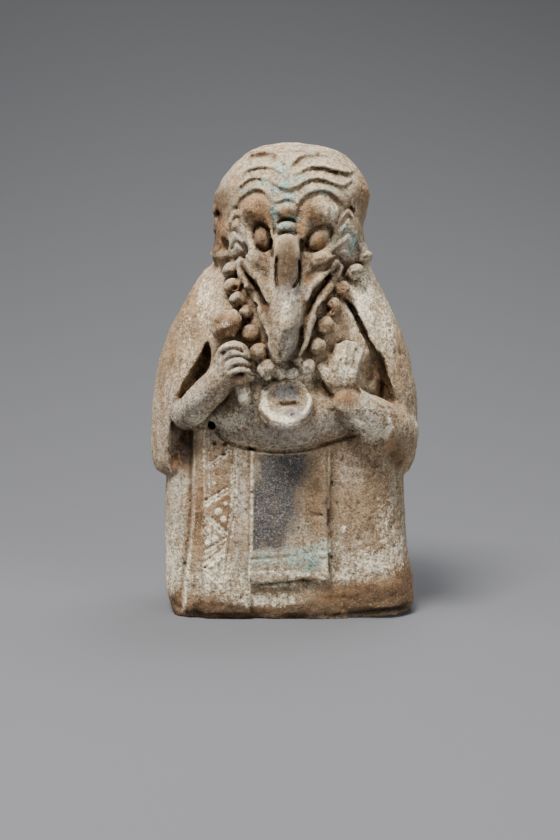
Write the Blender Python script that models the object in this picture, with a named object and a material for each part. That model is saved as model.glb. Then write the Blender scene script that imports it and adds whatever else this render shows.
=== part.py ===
"""Whistle figurine of fired clay: an old bird-beaked figure in a cape, hollow and of one piece.

The figure stands on the ground at z = 0 and faces -Y, with its own right side at -X.
Its pose and carving are laid out in parts, 180 of them from the base to the crown, so they
keep their proportions. The wall, the bores and the windway are lengths of their own, in metres.
"""

import math

import bmesh
import bpy
from mathutils import Euler, Matrix, Vector

# Driving dimensions, metres
HEIGHT = 0.180
WALL = 0.006
VENT_BORE = 0.0034
WINDWAY_WIDTH = 0.008
WINDWAY_HEIGHT = 0.0018
WINDOW_LENGTH = 0.0034
DUCT_HEIGHT = 0.0036
MOUTHPIECE_REACH = 0.011
MOUTHPIECE_WALL = 0.0036
APRON_THICKNESS = 0.0020
PANEL_THICKNESS = 0.0015
FURROW_WIDTH = 0.0028

# Layout
PARTS_HIGH = 180
PART = HEIGHT / PARTS_HIGH
RIGHT, LEFT = -1, 1

# How finely the clay is fused, and how many triangles its skin keeps
GRAIN = 0.8 * PART
SKIN_TRIANGLES = 8900

# Fired buff clay under a worn whitish slip
CLAY_COLOUR = (0.42, 0.35, 0.28, 1.0)
CLAY_ROUGHNESS = 0.9

# Cross sections, in parts: height, right reach, left reach, front, back, squareness
ROBE = (
    (-2.0, -44.0, 46.4, -26.0, 25.5, 6.0),
    (1.0, -45.2, 47.4, -26.4, 26.0, 6.0),
    (4.0, -47.0, 48.4, -26.6, 26.5, 5.0),
    (10.0, -48.4, 48.4, -26.5, 27.0, 4.2),
    (18.0, -48.8, 47.0, -26.5, 27.0, 3.6),
    (33.0, -48.9, 45.2, -26.0, 26.5, 3.4),
    (50.0, -48.5, 44.6, -25.5, 26.0, 3.3),
    (66.0, -46.0, 43.0, -25.0, 25.0, 3.0),
    (80.0, -42.0, 40.0, -19.0, 24.0, 2.8),
)
CAPE = (
    (52.5, -49.6, 44.6, -24.0, 27.0, 2.8),
    (54.5, -52.8, 46.8, -25.5, 29.0, 2.8),
    (60.0, -54.9, 49.4, -27.0, 30.5, 2.8),
    (69.0, -54.9, 50.2, -28.5, 31.0, 2.8),
    (81.0, -53.6, 49.7, -29.5, 30.5, 2.8),
    (96.0, -51.1, 47.0, -29.0, 29.5, 2.7),
    (110.0, -46.3, 42.2, -27.5, 28.0, 2.6),
    (120.0, -41.1, 37.6, -24.5, 26.0, 2.5),
    (129.5, -35.2, 32.6, -20.0, 23.0, 2.4),
    (135.0, -30.0, 30.0, -16.0, 21.0, 2.4),
    (142.0, -25.0, 25.0, -12.0, 18.0, 2.3),
)
HEAD = (
    (124.0, -19.0, 19.0, -15.0, 12.0, 2.2),
    (129.0, -25.5, 26.0, -20.0, 16.0, 2.3),
    (136.0, -29.3, 29.8, -23.5, 20.0, 2.4),
    (142.0, -29.2, 29.0, -25.5, 22.0, 2.4),
    (148.0, -29.5, 28.0, -27.0, 23.5, 2.4),
    (155.0, -29.5, 29.6, -28.0, 24.0, 2.3),
    (161.0, -28.4, 30.7, -27.5, 23.5, 2.3),
    (166.5, -26.0, 29.0, -25.5, 22.0, 2.2),
    (172.0, -21.6, 25.0, -21.5, 18.5, 2.2),
    (176.0, -16.6, 20.4, -17.0, 14.5, 2.2),
    (179.0, -10.6, 13.0, -11.5, 9.5, 2.1),
    (180.2, -4.5, 6.0, -6.0, 4.5, 2.0),
)
BEAK = (
    (145.0, -7.0, 6.4, -29.0, -18.0, 2.0),
    (140.0, -12.0, 12.0, -31.0, -16.0, 1.9),
    (134.5, -16.0, 17.0, -33.6, -12.0, 1.7),
    (129.4, -13.4, 13.4, -35.6, -14.0, 1.7),
    (124.0, -10.0, 9.0, -38.0, -18.0, 1.8),
    (118.4, -8.0, 6.4, -41.0, -22.0, 2.0),
    (113.0, -7.1, 5.2, -43.0, -25.0, 2.0),
    (107.6, -6.6, 4.9, -43.6, -26.0, 2.0),
    (102.2, -5.1, 4.1, -42.8, -28.0, 2.0),
    (98.8, -3.3, 2.7, -41.3, -31.0, 2.0),
    (97.2, -1.5, 1.1, -40.0, -35.0, 2.0),
)
# The clay that the sound chamber hollows out, measured over its outer skin
CORE = (
    (0.0, -45.5, 46.0, -24.5, 25.0, 3.4),
    (9.0, -48.5, 47.6, -26.0, 26.5, 3.4),
    (45.0, -48.2, 44.6, -25.5, 26.0, 3.3),
    (56.0, -48.0, 44.4, -19.5, 26.5, 3.0),
    (64.0, -52.0, 48.0, -17.0, 29.0, 2.8),
    (81.0, -52.6, 48.6, -15.5, 29.6, 2.8),
    (96.0, -50.0, 46.2, -15.5, 28.8, 2.7),
    (110.0, -45.2, 41.4, -15.5, 27.0, 2.6),
    (120.0, -39.4, 36.2, -15.5, 24.8, 2.5),
    (129.0, -29.5, 29.5, -16.5, 20.5, 2.4),
    (137.0, -26.5, 26.5, -19.0, 18.5, 2.3),
    (146.0, -27.5, 27.0, -22.0, 21.0, 2.4),
    (156.0, -28.0, 28.0, -23.0, 22.5, 2.3),
    (168.0, -24.0, 26.5, -21.0, 20.0, 2.2),
    (176.0, -14.0, 16.5, -13.5, 12.0, 2.2),
    (180.0, -5.0, 6.0, -5.5, 4.5, 2.0),
)
# Ovals of the chest and the belly: centre, half sizes
CHEST = ((-0.5, -10.0, 105.5), (29.5, 23.0, 33.0))
BELLY = ((-1.0, -13.0, 79.0), (32.0, 21.5, 18.0))
# Cloths on the robe's front: right and left edge, bottom and top
PANEL = (-38.0, -15.5, 2.0, 70.0)
APRON = (-13.8, 15.6, 13.7, 67.0)

# Furrows over each brow: crest, fall to both ends and reach; the side and middle of each brow
BROW_FURROWS = ((159.6, 5.0, 9.5), (164.0, 3.4, 10.5), (168.4, 2.6, 10.5), (172.4, 2.8, 8.5))
BROW_MIDDLES = ((RIGHT, -11.6), (LEFT, 11.8))
# Heights of the points of the chevrons down each cheek, and how far out they lie
CHEVRON_POINTS = (153.6, 148.8, 144.0)
CHEVRON_PLACE = 19.8
# Width of finer furrows, as a share of the brow's
CHEVRON_SHARE = 0.75
CREASE_SHARE = 0.57
# The slits beside the bar of the nose, and how thick they are
NOSTRILS = (
    ((-6.2, -35.5, 136.0), (-6.0, -37.5, 128.5)),
    ((4.2, -35.5, 136.0), (4.6, -38.0, 129.0), (2.8, -41.0, 124.8)),
)
NOSTRIL_RADIUS = 1.3

# The beak's raised edges, the slits of the mouth and the strips of the lower jaw, corner to tip
RIGHT_LIP = ((-17.2, -24.2, 134.4), (-14.2, -27.8, 129.8), (-10.6, -32.6, 124.4), (-7.8, -37.0, 118.4))
LEFT_LIP = ((18.4, -23.8, 134.4), (13.8, -27.8, 130.4), (9.6, -32.4, 125.6), (6.4, -37.0, 119.4))
RIGHT_SLIT = ((-18.6, -24.6, 132.0), (-15.6, -28.0, 126.8), (-11.6, -32.4, 122.2), (-9.0, -35.6, 117.0),
              (-7.6, -37.6, 111.0), (-6.8, -38.6, 105.0))
LEFT_SLIT = ((19.2, -24.2, 131.8), (14.8, -28.0, 127.4), (10.6, -32.4, 123.0), (7.6, -35.6, 117.6),
             (6.0, -37.6, 112.0), (5.2, -38.6, 106.0))
RIGHT_JAW = ((-20.0, -21.0, 134.0), (-17.8, -24.0, 128.0), (-13.4, -28.5, 121.6), (-10.7, -31.5, 116.4),
             (-9.0, -33.5, 111.0), (-7.8, -35.0, 105.6), (-5.2, -36.0, 98.6))
LEFT_JAW = ((20.8, -20.5, 133.4), (17.2, -24.0, 127.6), (12.4, -28.0, 122.4), (8.9, -31.5, 117.0),
            (7.0, -33.5, 111.6), (5.9, -35.0, 106.6), (4.0, -36.0, 100.2))
# Fingers of the fist: height, reach of the knuckle and of the tip
FIST_FINGERS = ((101.9, -24.6, -14.4), (98.7, -25.4, -13.4), (95.5, -25.2, -13.4), (92.6, -23.8, -14.2))
# Fingers of the open hand: root, reach and height of the tip, thickness
HAND_FINGERS = (
    (15.8, 17.6, 103.0, 1.9), (19.0, 20.8, 104.8, 1.9), (22.0, 24.0, 104.2, 1.9), (24.6, 26.6, 101.6, 1.8),
)

# The cape's front opening, seen from the front, from the right neck round by the hem to the left
OPENING = (
    (-17.0, 131.0), (-25.0, 119.0), (-29.0, 108.0), (-33.5, 97.0), (-40.0, 87.0), (-44.5, 74.0),
    (-45.5, 62.0), (-42.0, 48.0), (42.0, 48.0), (44.0, 58.0), (41.5, 74.0), (38.3, 84.0),
    (32.0, 97.5), (26.8, 109.5), (21.4, 124.0), (14.0, 131.0),
)
OPENING_FRONT = -60.0
OPENING_BACK = -15.5

# The blowing stub: how square its section is, and where along it the windway ends at the window
STUB_SQUARENESS = 2.8
OUTLET_SHARE = 0.45
# Height of the splitting lip's edge over the windway's floor
LIP_EDGE = 0.6
# The finger hole's place, seen from the front, and the depths its bore spans
VENT_PLACE = (-29.4, 73.0)
VENT_DEPTHS = (-36.0, -4.0)
# How far the ground reaches to each side and down
GROUND_REACH = 80.0
GROUND_DEPTH = 30.0


def blend(sections, height):
    """The cross section at a height, between the two sections around it."""
    rows = sorted(sections)
    height = min(max(height, rows[0][0]), rows[-1][0])
    for low, high in zip(rows, rows[1:]):
        if height <= high[0]:
            share = (height - low[0]) / (high[0] - low[0])
            return [a + share * (b - a) for a, b in zip(low, high)]
    return list(rows[-1])


def ring(section, count=56):
    """Points of a rounded four-sided ring, as far out on each side as its section says."""
    height, right, left, front, back, square = section
    points = []
    for step in range(count):
        angle = 2 * math.pi * step / count
        across, along = math.cos(angle), math.sin(angle)
        x = (left + right) / 2 + (left - right) / 2 * math.copysign(abs(across) ** (2 / square), across)
        y = (back + front) / 2 + (back - front) / 2 * math.copysign(abs(along) ** (2 / square), along)
        points.append((x, y, height))
    return points


def front_of(sections, x, height):
    """The front surface of a form of such sections, at one place seen from the front."""
    _, right, left, front, back, square = blend(sections, height)
    share = min(abs(x - (left + right) / 2) / ((left - right) / 2), 0.995)
    return (back + front) / 2 - (back - front) / 2 * (1 - share ** square) ** (1 / square)


def front_of_ball(centre, radii, x, height):
    """The front surface of an oval, at one place seen from the front."""
    rest = 1 - ((x - centre[0]) / radii[0]) ** 2 - ((height - centre[2]) / radii[2]) ** 2
    return centre[1] - radii[1] * math.sqrt(max(rest, 0.0))


def skin(shape, rows):
    """A closed skin through rows of points, each row a ring of as many points."""
    verts = [[shape.verts.new(Vector(point) * PART) for point in row] for row in rows]
    for lower, upper in zip(verts, verts[1:]):
        for step in range(len(lower)):
            following = (step + 1) % len(lower)
            shape.faces.new((lower[step], lower[following], upper[following], upper[step]))
    faces = [shape.faces.new(list(reversed(verts[0]))), shape.faces.new(verts[-1])]
    island = {face for vert_row in verts for vert in vert_row for face in vert.link_faces}
    bmesh.ops.recalc_face_normals(shape, faces=list(island | set(faces)))


def loft(shape, sections):
    """A closed form through cross sections that lie one above the other."""
    skin(shape, [ring(section) for section in sorted(sections)])


def ball(shape, centre, radii, turn=(0, 0, 0), finer=3):
    """A closed oval, turned by three angles in degrees."""
    scale = Matrix.Diagonal((*[radius * PART for radius in radii], 1.0))
    spin = Euler([math.radians(angle) for angle in turn]).to_matrix().to_4x4()
    place = Matrix.Translation(Vector(centre) * PART)
    bmesh.ops.create_icosphere(shape, subdivisions=finer, radius=1.0, matrix=place @ spin @ scale)


def limb(shape, points, radii):
    """A rounded limb along points, a hull of each two neighbouring balls."""
    if not hasattr(radii, "__len__"):
        radii = [radii] * len(points)
    for start, end, first, last in zip(points, points[1:], radii, radii[1:]):
        piece = bmesh.new()
        for centre, radius in ((start, first), (end, last)):
            ball(piece, centre, (radius, radius, radius), finer=2)
        hull = bmesh.ops.convex_hull(piece, input=piece.verts)
        loose = hull["geom_interior"] + hull["geom_unused"]
        spare = {item for item in loose if isinstance(item, bmesh.types.BMVert)}
        bmesh.ops.delete(piece, geom=list(spare), context="VERTS")
        mesh = bpy.data.meshes.new("limb")
        piece.to_mesh(mesh)
        piece.free()
        shape.from_mesh(mesh)
        bpy.data.meshes.remove(mesh)


def prism(shape, outline, front, back):
    """A closed prism of an outline seen from the front, from one depth to another."""
    rows = [[(x, depth, height) for x, height in outline] for depth in (front, back)]
    skin(shape, rows)


def cloth(shape, right, left, bottom, top, thickness, columns=8, rows=8):
    """A flat cloth laid on the robe's front, proud of it by its thickness."""
    proud = thickness / PART
    sunk = 3.0
    layers = []
    for row in range(rows + 1):
        height = bottom + (top - bottom) * row / rows
        across = [right + (left - right) * column / columns for column in range(columns + 1)]
        outer = [(x, front_of(ROBE, x, height) - proud, height) for x in across]
        inner = [(x, front_of(ROBE, x, height) + sunk, height) for x in reversed(across)]
        layers.append(outer + inner)
    skin(shape, layers)


def body(clay):
    """Robe, chest and belly, which the arms and the cape enclose."""
    loft(clay, ROBE)
    ball(clay, *CHEST)
    ball(clay, *BELLY)
    cloth(clay, *PANEL, PANEL_THICKNESS)
    cloth(clay, *APRON, APRON_THICKNESS)


def head(clay):
    """The skull, brows, cheeks, ears and the great hooked beak."""
    loft(clay, HEAD)
    loft(clay, BEAK)
    ball(clay, (-12.2, -22.6, 152.2), (6.8, 8.0, 7.8), (0, 0, -16))
    ball(clay, (10.9, -22.6, 152.4), (8.0, 8.0, 7.8), (0, 0, 14))
    for height, size in ((152.6, 4.4), (148.0, 4.6)):
        ball(clay, (-1.0, -27.2, height), (size, 4.0, 2.2))
    limb(clay, [(-1.0, -34.4, 141.0), (-1.0, -37.4, 133.0), (-0.9, -38.8, 126.0)], [4.2, 4.5, 3.8])
    limb(clay, [(-0.8, -39.4, 121.0), (-0.6, -40.8, 114.0), (-0.3, -40.6, 103.0)], [3.0, 3.2, 3.0])
    for side, centre in ((RIGHT, -10.2), (LEFT, 9.8)):
        ball(clay, (centre, -25.8, 136.6), (5.6, 5.2, 3.2), (0, 24 * side, 0))
        ball(clay, (19.0 * side, -17.4, 146.0), (7.6, 5.4, 11.5), (0, 0, 36 * side))
        ball(clay, (26.6 * side, -10.0, 138.5), (3.6, 4.2, 4.4))
    for lip in (RIGHT_LIP, LEFT_LIP):
        limb(clay, lip, [1.4, 1.7, 1.7, 1.4])
    for jaw in (RIGHT_JAW, LEFT_JAW):
        limb(clay, jaw, [1.9, 1.8, 1.6, 1.5, 1.5, 1.5, 1.4])


def sockets(cuts):
    """Eye sockets, nostrils and the mouth's slit under each edge of the beak."""
    ball(cuts, (-10.6, -31.0, 143.6), (5.2, 6.0, 6.4), (0, 8, 0))
    ball(cuts, (10.6, -31.0, 143.4), (6.2, 6.0, 5.6), (0, 24, 0))
    ball(cuts, (-1.0, -32.5, 145.6), (5.0, 3.0, 1.3))
    for nostril in NOSTRILS:
        limb(cuts, nostril, NOSTRIL_RADIUS)
    ball(cuts, (10.8, -34.6, 129.2), (3.6, 3.0, 2.6), (0, 30, 0))
    ball(cuts, (-10.4, -34.6, 128.6), (3.0, 3.0, 2.8), (0, -40, 0))
    for slit in (RIGHT_SLIT, LEFT_SLIT):
        limb(cuts, slit, [1.2, 1.2, 1.1, 1.0, 1.0, 0.8])


def eyes(clay):
    """Almond eyeballs that stand in their sockets."""
    ball(clay, (-10.3, -27.2, 143.2), (2.6, 3.0, 4.6), (0, 4, 0))
    ball(clay, (10.2, -27.2, 143.4), (2.9, 3.0, 4.5), (0, 28, 0))


def wrinkles(cuts):
    """Furrows arched over each brow, and chevrons nested down each cheek."""
    radius = FURROW_WIDTH / PART / 2
    for side, middle in BROW_MIDDLES:
        for crest, fall, reach in BROW_FURROWS:
            path = []
            for step in range(9):
                along = step / 4 - 1
                x, height = middle + side * reach * along, crest - fall * along * along
                path.append((x, front_of(HEAD, x, height) - 0.4, height))
            limb(cuts, path, radius)
        for apex in CHEVRON_POINTS:
            path = []
            for step in (-4.0, -2.0, 0.0, 2.0, 4.0):
                x, height = side * (CHEVRON_PLACE + step), apex - 1.2 * abs(step)
                path.append((x, front_of(HEAD, x, height) - 1.5, height))
            limb(cuts, path, CHEVRON_SHARE * radius)


def cape(clay):
    """The cape's closed form before its front is opened."""
    loft(clay, CAPE)


def front_opening(cuts):
    """The space between the cape's two front edges."""
    prism(cuts, OPENING, OPENING_FRONT, OPENING_BACK)


def necklace(clay):
    """Two strands of large beads that meet behind the beak's tip."""
    strands = (
        (RIGHT, (-23.2, 133.4), (-7.8, 94.9), 0.4, (2.9, 3.3, 3.2, 3.0, 3.6, 4.0, 4.0)),
        (LEFT, (24.8, 131.0), (7.5, 96.0), -1.0, (4.0, 3.4, 3.7, 3.7, 3.3, 3.3)),
    )
    for side, top, low, strand_bow, sizes in strands:
        for step, size in enumerate(sizes):
            along = step / (len(sizes) - 1)
            bow = strand_bow * math.sin(math.pi * along)
            x = top[0] + (low[0] - top[0]) * along + side * bow
            height = top[1] + (low[1] - top[1]) * along
            depth = min(front_of_ball(*CHEST, x, height), front_of(HEAD, x, height) + 1.0)
            ball(clay, (x, depth - 0.35 * size, height), (size, size, size))
    ball(clay, (-0.8, front_of_ball(*BELLY, -0.8, 94.0) - 1.2, 94.0), (3.2, 2.4, 2.2))


def pendant(clay):
    """A dished disc that lies on the belly and looks a little upwards."""
    centre = Vector((-0.9, -36.0, 82.6))
    tilt = (-27, 0, 0)
    spin = Euler([math.radians(angle) for angle in tilt]).to_matrix()
    ball(clay, centre + spin @ Vector((0, 3.4, 0)), (9.6, 3.0, 9.6), tilt)
    rim = []
    for step in range(19):
        angle = 2 * math.pi * step / 18
        rim.append(centre + spin @ Vector((8.2 * math.cos(angle), 0.6, 8.2 * math.sin(angle))))
    limb(clay, rim, 2.1)


def forearms(clay):
    """The bent forearms that come out from under the cape."""
    limb(clay, [(-38.6, -19.5, 77.0), (-35.6, -25.0, 80.0), (-30.5, -30.0, 85.5), (-25.0, -34.0, 91.0),
                (-21.0, -36.5, 96.0)], [5.9, 6.2, 6.0, 5.5, 5.2])
    limb(clay, [(38.5, -15.5, 73.6), (35.0, -22.5, 75.5), (28.0, -28.5, 78.6), (21.5, -31.5, 83.5)],
         [7.0, 7.2, 7.2, 6.2])


def fist_and_rattle(clay):
    """The right fist, four fingers closed round the handle of a rattle."""
    ball(clay, (-20.0, -35.5, 97.6), (6.4, 5.6, 6.6))
    for height, knuckle, tip in FIST_FINGERS:
        limb(clay, [(knuckle, -36.6, height), (-20.5, -40.6, height + 0.6), (tip, -39.4, height)],
             [1.8, 1.9, 1.7])
    ball(clay, (-23.0, -32.5, 111.2), (6.7, 6.4, 6.7))
    limb(clay, [(-22.0, -35.0, 106.0), (-17.0, -37.0, 90.0)], [2.4, 2.2])
    ball(clay, (-16.3, -36.6, 85.2), (2.6, 2.6, 4.2), (0, -10, 0))


def open_hand(clay):
    """The left hand, raised flat in front of the chest."""
    ball(clay, (19.8, -32.5, 89.5), (6.4, 3.8, 6.6))
    for low, tip_x, tip, size in HAND_FINGERS:
        root, knuckle = (low, -33.4, 91.5), ((low + tip_x) / 2, -34.6, (91.5 + tip) / 2)
        limb(clay, [root, knuckle, (tip_x, -33.2, tip)], size)
    limb(clay, [(17.0, -33.6, 87.0), (14.0, -35.2, 90.5), (10.8, -35.2, 95.2)], [2.4, 2.1, 1.8])


def finger_creases(cuts):
    """Furrows that part the fingers of both hands."""
    radius = CREASE_SHARE * FURROW_WIDTH / PART / 2
    for (height, knuckle, tip), (below, _, _) in zip(FIST_FINGERS, FIST_FINGERS[1:]):
        middle = (height + below) / 2
        limb(cuts, [(knuckle, -38.8, middle), (-20.5, -42.9, middle + 0.6), (tip + 1.0, -41.4, middle)],
             radius)
    for (low, tip_x, tip, _), (next_low, next_tip, next_top, _) in zip(HAND_FINGERS, HAND_FINGERS[1:]):
        root, end = (low + next_low) / 2, (tip_x + next_tip) / 2
        top = min(tip, next_top) + 1.0
        limb(cuts, [(root, -35.6, 93.0), ((root + end) / 2, -36.6, 98.0), (end, -35.2, top)], radius)


def slits(cuts):
    """Deep shadows between the arms and the cape, and the hollow under the right sleeve."""
    for depth in (-26.0, -22.0, -18.5):
        limb(cuts, [(-30.0, depth, 102.5), (-33.0, depth, 96.5), (-38.0, depth, 88.0)], [1.5, 2.2, 1.3])
        limb(cuts, [(23.0, depth, 120.0), (27.2, depth, 110.0), (31.2, depth, 100.0), (36.0, depth, 87.0)],
             [0.9, 1.7, 2.0, 1.2])
    limb(cuts, [(-41.0, -23.5, 69.0), (-41.2, -23.5, 59.0)], [3.0, 3.2])


def worn_edge(cuts):
    """The base's front left rim, worn away so that light passes under it."""
    limb(cuts, [(4.0, -31.0, -3.0), (22.0, -29.5, -1.6), (44.0, -22.0, -0.6), (52.0, -8.0, -1.5)],
         [4.2, 4.8, 4.8, 4.0])


def mouthpiece(clay):
    """A short blowing stub low on the back."""
    reach, wall = MOUTHPIECE_REACH / PART, MOUTHPIECE_WALL / PART
    wide = WINDWAY_WIDTH / PART / 2 + wall
    high = (WINDWAY_HEIGHT + DUCT_HEIGHT) / PART / 2 + wall
    back = ROBE[3][4]
    middle = WALL / PART + high
    rows = []
    for depth, share in ((back - WALL / PART, 1.25), (back + reach - 1.0, 1.0), (back + reach, 0.86)):
        across, up = wide * share, high * share
        section = (depth, -across, across, middle - up, middle + up, STUB_SQUARENESS)
        rows.append([(x, depth, height) for x, height, _ in ring(section, 32)])
    skin(clay, rows)


def channel(shape, side_view, width):
    """A closed channel of an outline seen from the side, set across the middle."""
    skin(shape, [[(x, y, z) for y, z in side_view] for x in (-width / 2, width / 2)])


def sound_levels():
    """Depths and heights that the windway, the window and the duct share, in parts."""
    back = ROBE[3][4]
    floor = (WALL + MOUTHPIECE_WALL) / PART
    sill = floor + DUCT_HEIGHT / PART
    roof = sill + WINDWAY_HEIGHT / PART
    outlet = back + OUTLET_SHARE * MOUTHPIECE_REACH / PART
    lip = outlet - WINDOW_LENGTH / PART
    return back, floor, sill, roof, outlet, lip


def windway(cuts):
    """The flat slot that leads the breath from the stub's end to the window."""
    back, _, sill, roof, outlet, _ = sound_levels()
    start, end = outlet - 0.5, back + MOUTHPIECE_REACH / PART + 2.0
    side_view = ((start, sill), (end, sill), (end, roof), (start, roof))
    channel(cuts, side_view, WINDWAY_WIDTH / PART)


def window(cuts):
    """The window above the stub, its far side a sloping lip that splits the breath."""
    _, floor, sill, roof, outlet, lip = sound_levels()
    top = roof + 10.0
    edge = sill + LIP_EDGE
    side_view = ((lip, floor), (outlet, floor), (outlet, top), (lip - 4.0, top), (lip, edge))
    channel(cuts, side_view, WINDWAY_WIDTH / PART)


def duct(cuts):
    """The short duct from the window through the wall to the chamber."""
    back, floor, sill, _, outlet, _ = sound_levels()
    start = back - WALL / PART - 3.0
    edge = sill + LIP_EDGE
    side_view = ((start, floor), (outlet, floor), (outlet, edge), (start, edge))
    channel(cuts, side_view, WINDWAY_WIDTH / PART)


def vent(cuts):
    """The round finger hole beside the right elbow."""
    radius = VENT_BORE / PART / 2
    turns = [math.pi * 2 * step / 16 for step in range(16)]
    x, height = VENT_PLACE
    circle = [(x + radius * math.cos(turn), height + radius * math.sin(turn)) for turn in turns]
    prism(cuts, circle, *VENT_DEPTHS)


def ground(cuts):
    """All that lies below the plane the figure stands on."""
    reach = GROUND_REACH
    outline = ((-reach, -GROUND_DEPTH), (reach, -GROUND_DEPTH), (reach, 0), (-reach, 0))
    prism(cuts, outline, -reach, reach)


def chamber(cuts):
    """The sound chamber, a wall's thickness inside the core all round."""
    wall = WALL / PART
    stretch = (PARTS_HIGH - 2 * wall) / PARTS_HIGH
    rows = []
    for height, right, left, front, back, square in CORE:
        inner = (wall + height * stretch, right + wall, left - wall, front + wall, back - wall, square)
        if inner[2] - inner[1] > wall and inner[4] - inner[3] > wall:
            rows.append(inner)
    skin(cuts, [ring(row, 20) for row in rows])


def lump(name, *makers):
    """An object made of overlapping closed forms."""
    shape = bmesh.new()
    for maker in makers:
        if isinstance(maker, bpy.types.Object):
            shape.from_mesh(maker.data)
            bpy.data.objects.remove(maker)
        else:
            maker(shape)
    mesh = bpy.data.meshes.new(name)
    shape.to_mesh(mesh)
    shape.free()
    thing = bpy.data.objects.new(name, mesh)
    bpy.context.collection.objects.link(thing)
    return thing


def settle(thing):
    """Applies an object's modifiers to its mesh."""
    bpy.context.view_layer.update()
    graph = bpy.context.evaluated_depsgraph_get()
    mesh = bpy.data.meshes.new_from_object(thing.evaluated_get(graph))
    thing.modifiers.clear()
    old, thing.data = thing.data, mesh
    bpy.data.meshes.remove(old)
    mesh.name = thing.name
    return thing


def fuse(thing, grain=GRAIN):
    """Fuses the overlapping forms into one skin, as wet clay is."""
    remesh = thing.modifiers.new("fuse", "REMESH")
    remesh.mode = "VOXEL"
    remesh.voxel_size = grain
    return settle(thing)


def carve(thing, cutter):
    """Takes a cutter's form out of the clay and removes the cutter."""
    cut = thing.modifiers.new("carve", "BOOLEAN")
    cut.operation = "DIFFERENCE"
    cut.solver = "EXACT"
    cut.object = cutter
    settle(thing)
    bpy.data.objects.remove(cutter)
    return thing


def thin_out(thing, triangles):
    """Keeps the number of triangles down where the skin is flat."""
    smooth = thing.modifiers.new("smooth", "SMOOTH")
    smooth.factor = 0.5
    smooth.iterations = 1
    thing.data.calc_loop_triangles()
    thin = thing.modifiers.new("thin", "DECIMATE")
    thin.ratio = min(1.0, triangles / len(thing.data.loop_triangles))
    return settle(thing)


def fired_clay():
    """A dull buff clay."""
    material = bpy.data.materials.new("fired_clay")
    material.use_nodes = True
    shader = material.node_tree.nodes["Principled BSDF"]
    shader.inputs["Base Color"].default_value = CLAY_COLOUR
    shader.inputs["Roughness"].default_value = CLAY_ROUGHNESS
    shader.inputs["Metallic"].default_value = 0.0
    return material


def build():
    """The figurine in an empty file: its forms fused, thinned out and bored."""
    for thing in list(bpy.data.objects):
        bpy.data.objects.remove(thing)

    mantle = carve(lump("mantle", cape), lump("front_opening", front_opening))
    rough = fuse(lump("rough", mantle, body, head, forearms, mouthpiece))
    carve(rough, fuse(lump("furrows", sockets, wrinkles, slits, worn_edge), GRAIN / 2))
    hands = fuse(lump("hands", fist_and_rattle, open_hand), GRAIN / 2)
    carve(hands, fuse(lump("creases", finger_creases), GRAIN / 2))
    figure = fuse(lump("whistle_figurine", rough, hands, eyes, necklace, pendant))
    thin_out(figure, SKIN_TRIANGLES)
    for cutter in (chamber, windway, window, duct, vent, ground):
        carve(figure, lump(cutter.__name__, cutter))
    figure.data.materials.clear()
    figure.data.materials.append(fired_clay())
    figure.data.shade_smooth()
    figure.data.set_sharp_from_angle(angle=math.radians(40))


build()
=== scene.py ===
"""Finish of the whistle figurine: fired clay, carved, worn and painted.

The clay is worked in millimetres in a block of small cells, each holding its distance to the
skin. Forms are laid on and cut away there, the skin is drawn out as one mesh, and its bores
are cut as in the frame. Carved lines are placed where the photograph shows them, in its pixels.
"""

import itertools
import math

import bmesh
import bpy
import numpy as np
from mathutils import Euler, Matrix, Vector


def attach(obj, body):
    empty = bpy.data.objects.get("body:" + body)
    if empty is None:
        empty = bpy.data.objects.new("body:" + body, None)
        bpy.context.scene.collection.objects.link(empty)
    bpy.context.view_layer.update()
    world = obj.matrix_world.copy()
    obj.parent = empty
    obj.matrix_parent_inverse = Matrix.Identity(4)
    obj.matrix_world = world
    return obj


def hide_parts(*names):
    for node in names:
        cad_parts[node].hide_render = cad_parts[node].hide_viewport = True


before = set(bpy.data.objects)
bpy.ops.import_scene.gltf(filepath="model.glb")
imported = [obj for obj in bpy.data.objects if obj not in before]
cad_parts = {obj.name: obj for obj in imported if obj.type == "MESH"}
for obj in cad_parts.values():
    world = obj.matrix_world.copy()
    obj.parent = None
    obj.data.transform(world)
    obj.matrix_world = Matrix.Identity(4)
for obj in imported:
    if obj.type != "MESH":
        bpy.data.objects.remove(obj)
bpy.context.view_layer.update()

MM = 0.001
CELL = 0.5
BLOCK = ((-60.0, -49.0, -3.0), (56.0, 45.0, 184.0))
SKIN_TRIANGLES = 186000
SPECK_POINTS = 500
# What cells far from the clay hold, in mm
FAR = 7.0
RIGHT, LEFT = -1, 1

# Left, top, right and bottom in the photograph, and weight, of areas whose skin stays fine
FINE_AREAS = ((205, 150, 375, 380, 0.5), (180, 428, 260, 600, 1.0), (255, 376, 315, 430, 1.0))
FINE_BACK = -14.0
FINE_FACTOR = 0.00002

# The camera: its place in mm, its turn to the left and its tilt down, and the photograph's frame
CAMERA_PLACE = (7.4, -509.0, 119.5)
CAMERA_TURN = math.radians(1.28)
CAMERA_TILT = math.radians(5.19)
FOCAL_PIXELS = 1300.0
PHOTO_WIDTH, PHOTO_HEIGHT = 560, 840
PHOTO_MIDDLE = (PHOTO_WIDTH / 2, PHOTO_HEIGHT / 2)

FORWARD = np.array([-math.sin(CAMERA_TURN) * math.cos(CAMERA_TILT),
                    math.cos(CAMERA_TURN) * math.cos(CAMERA_TILT), -math.sin(CAMERA_TILT)])
SIDEWAYS = np.array([math.cos(CAMERA_TURN), math.sin(CAMERA_TURN), 0.0])
UPWARD = np.cross(SIDEWAYS, FORWARD)

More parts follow.
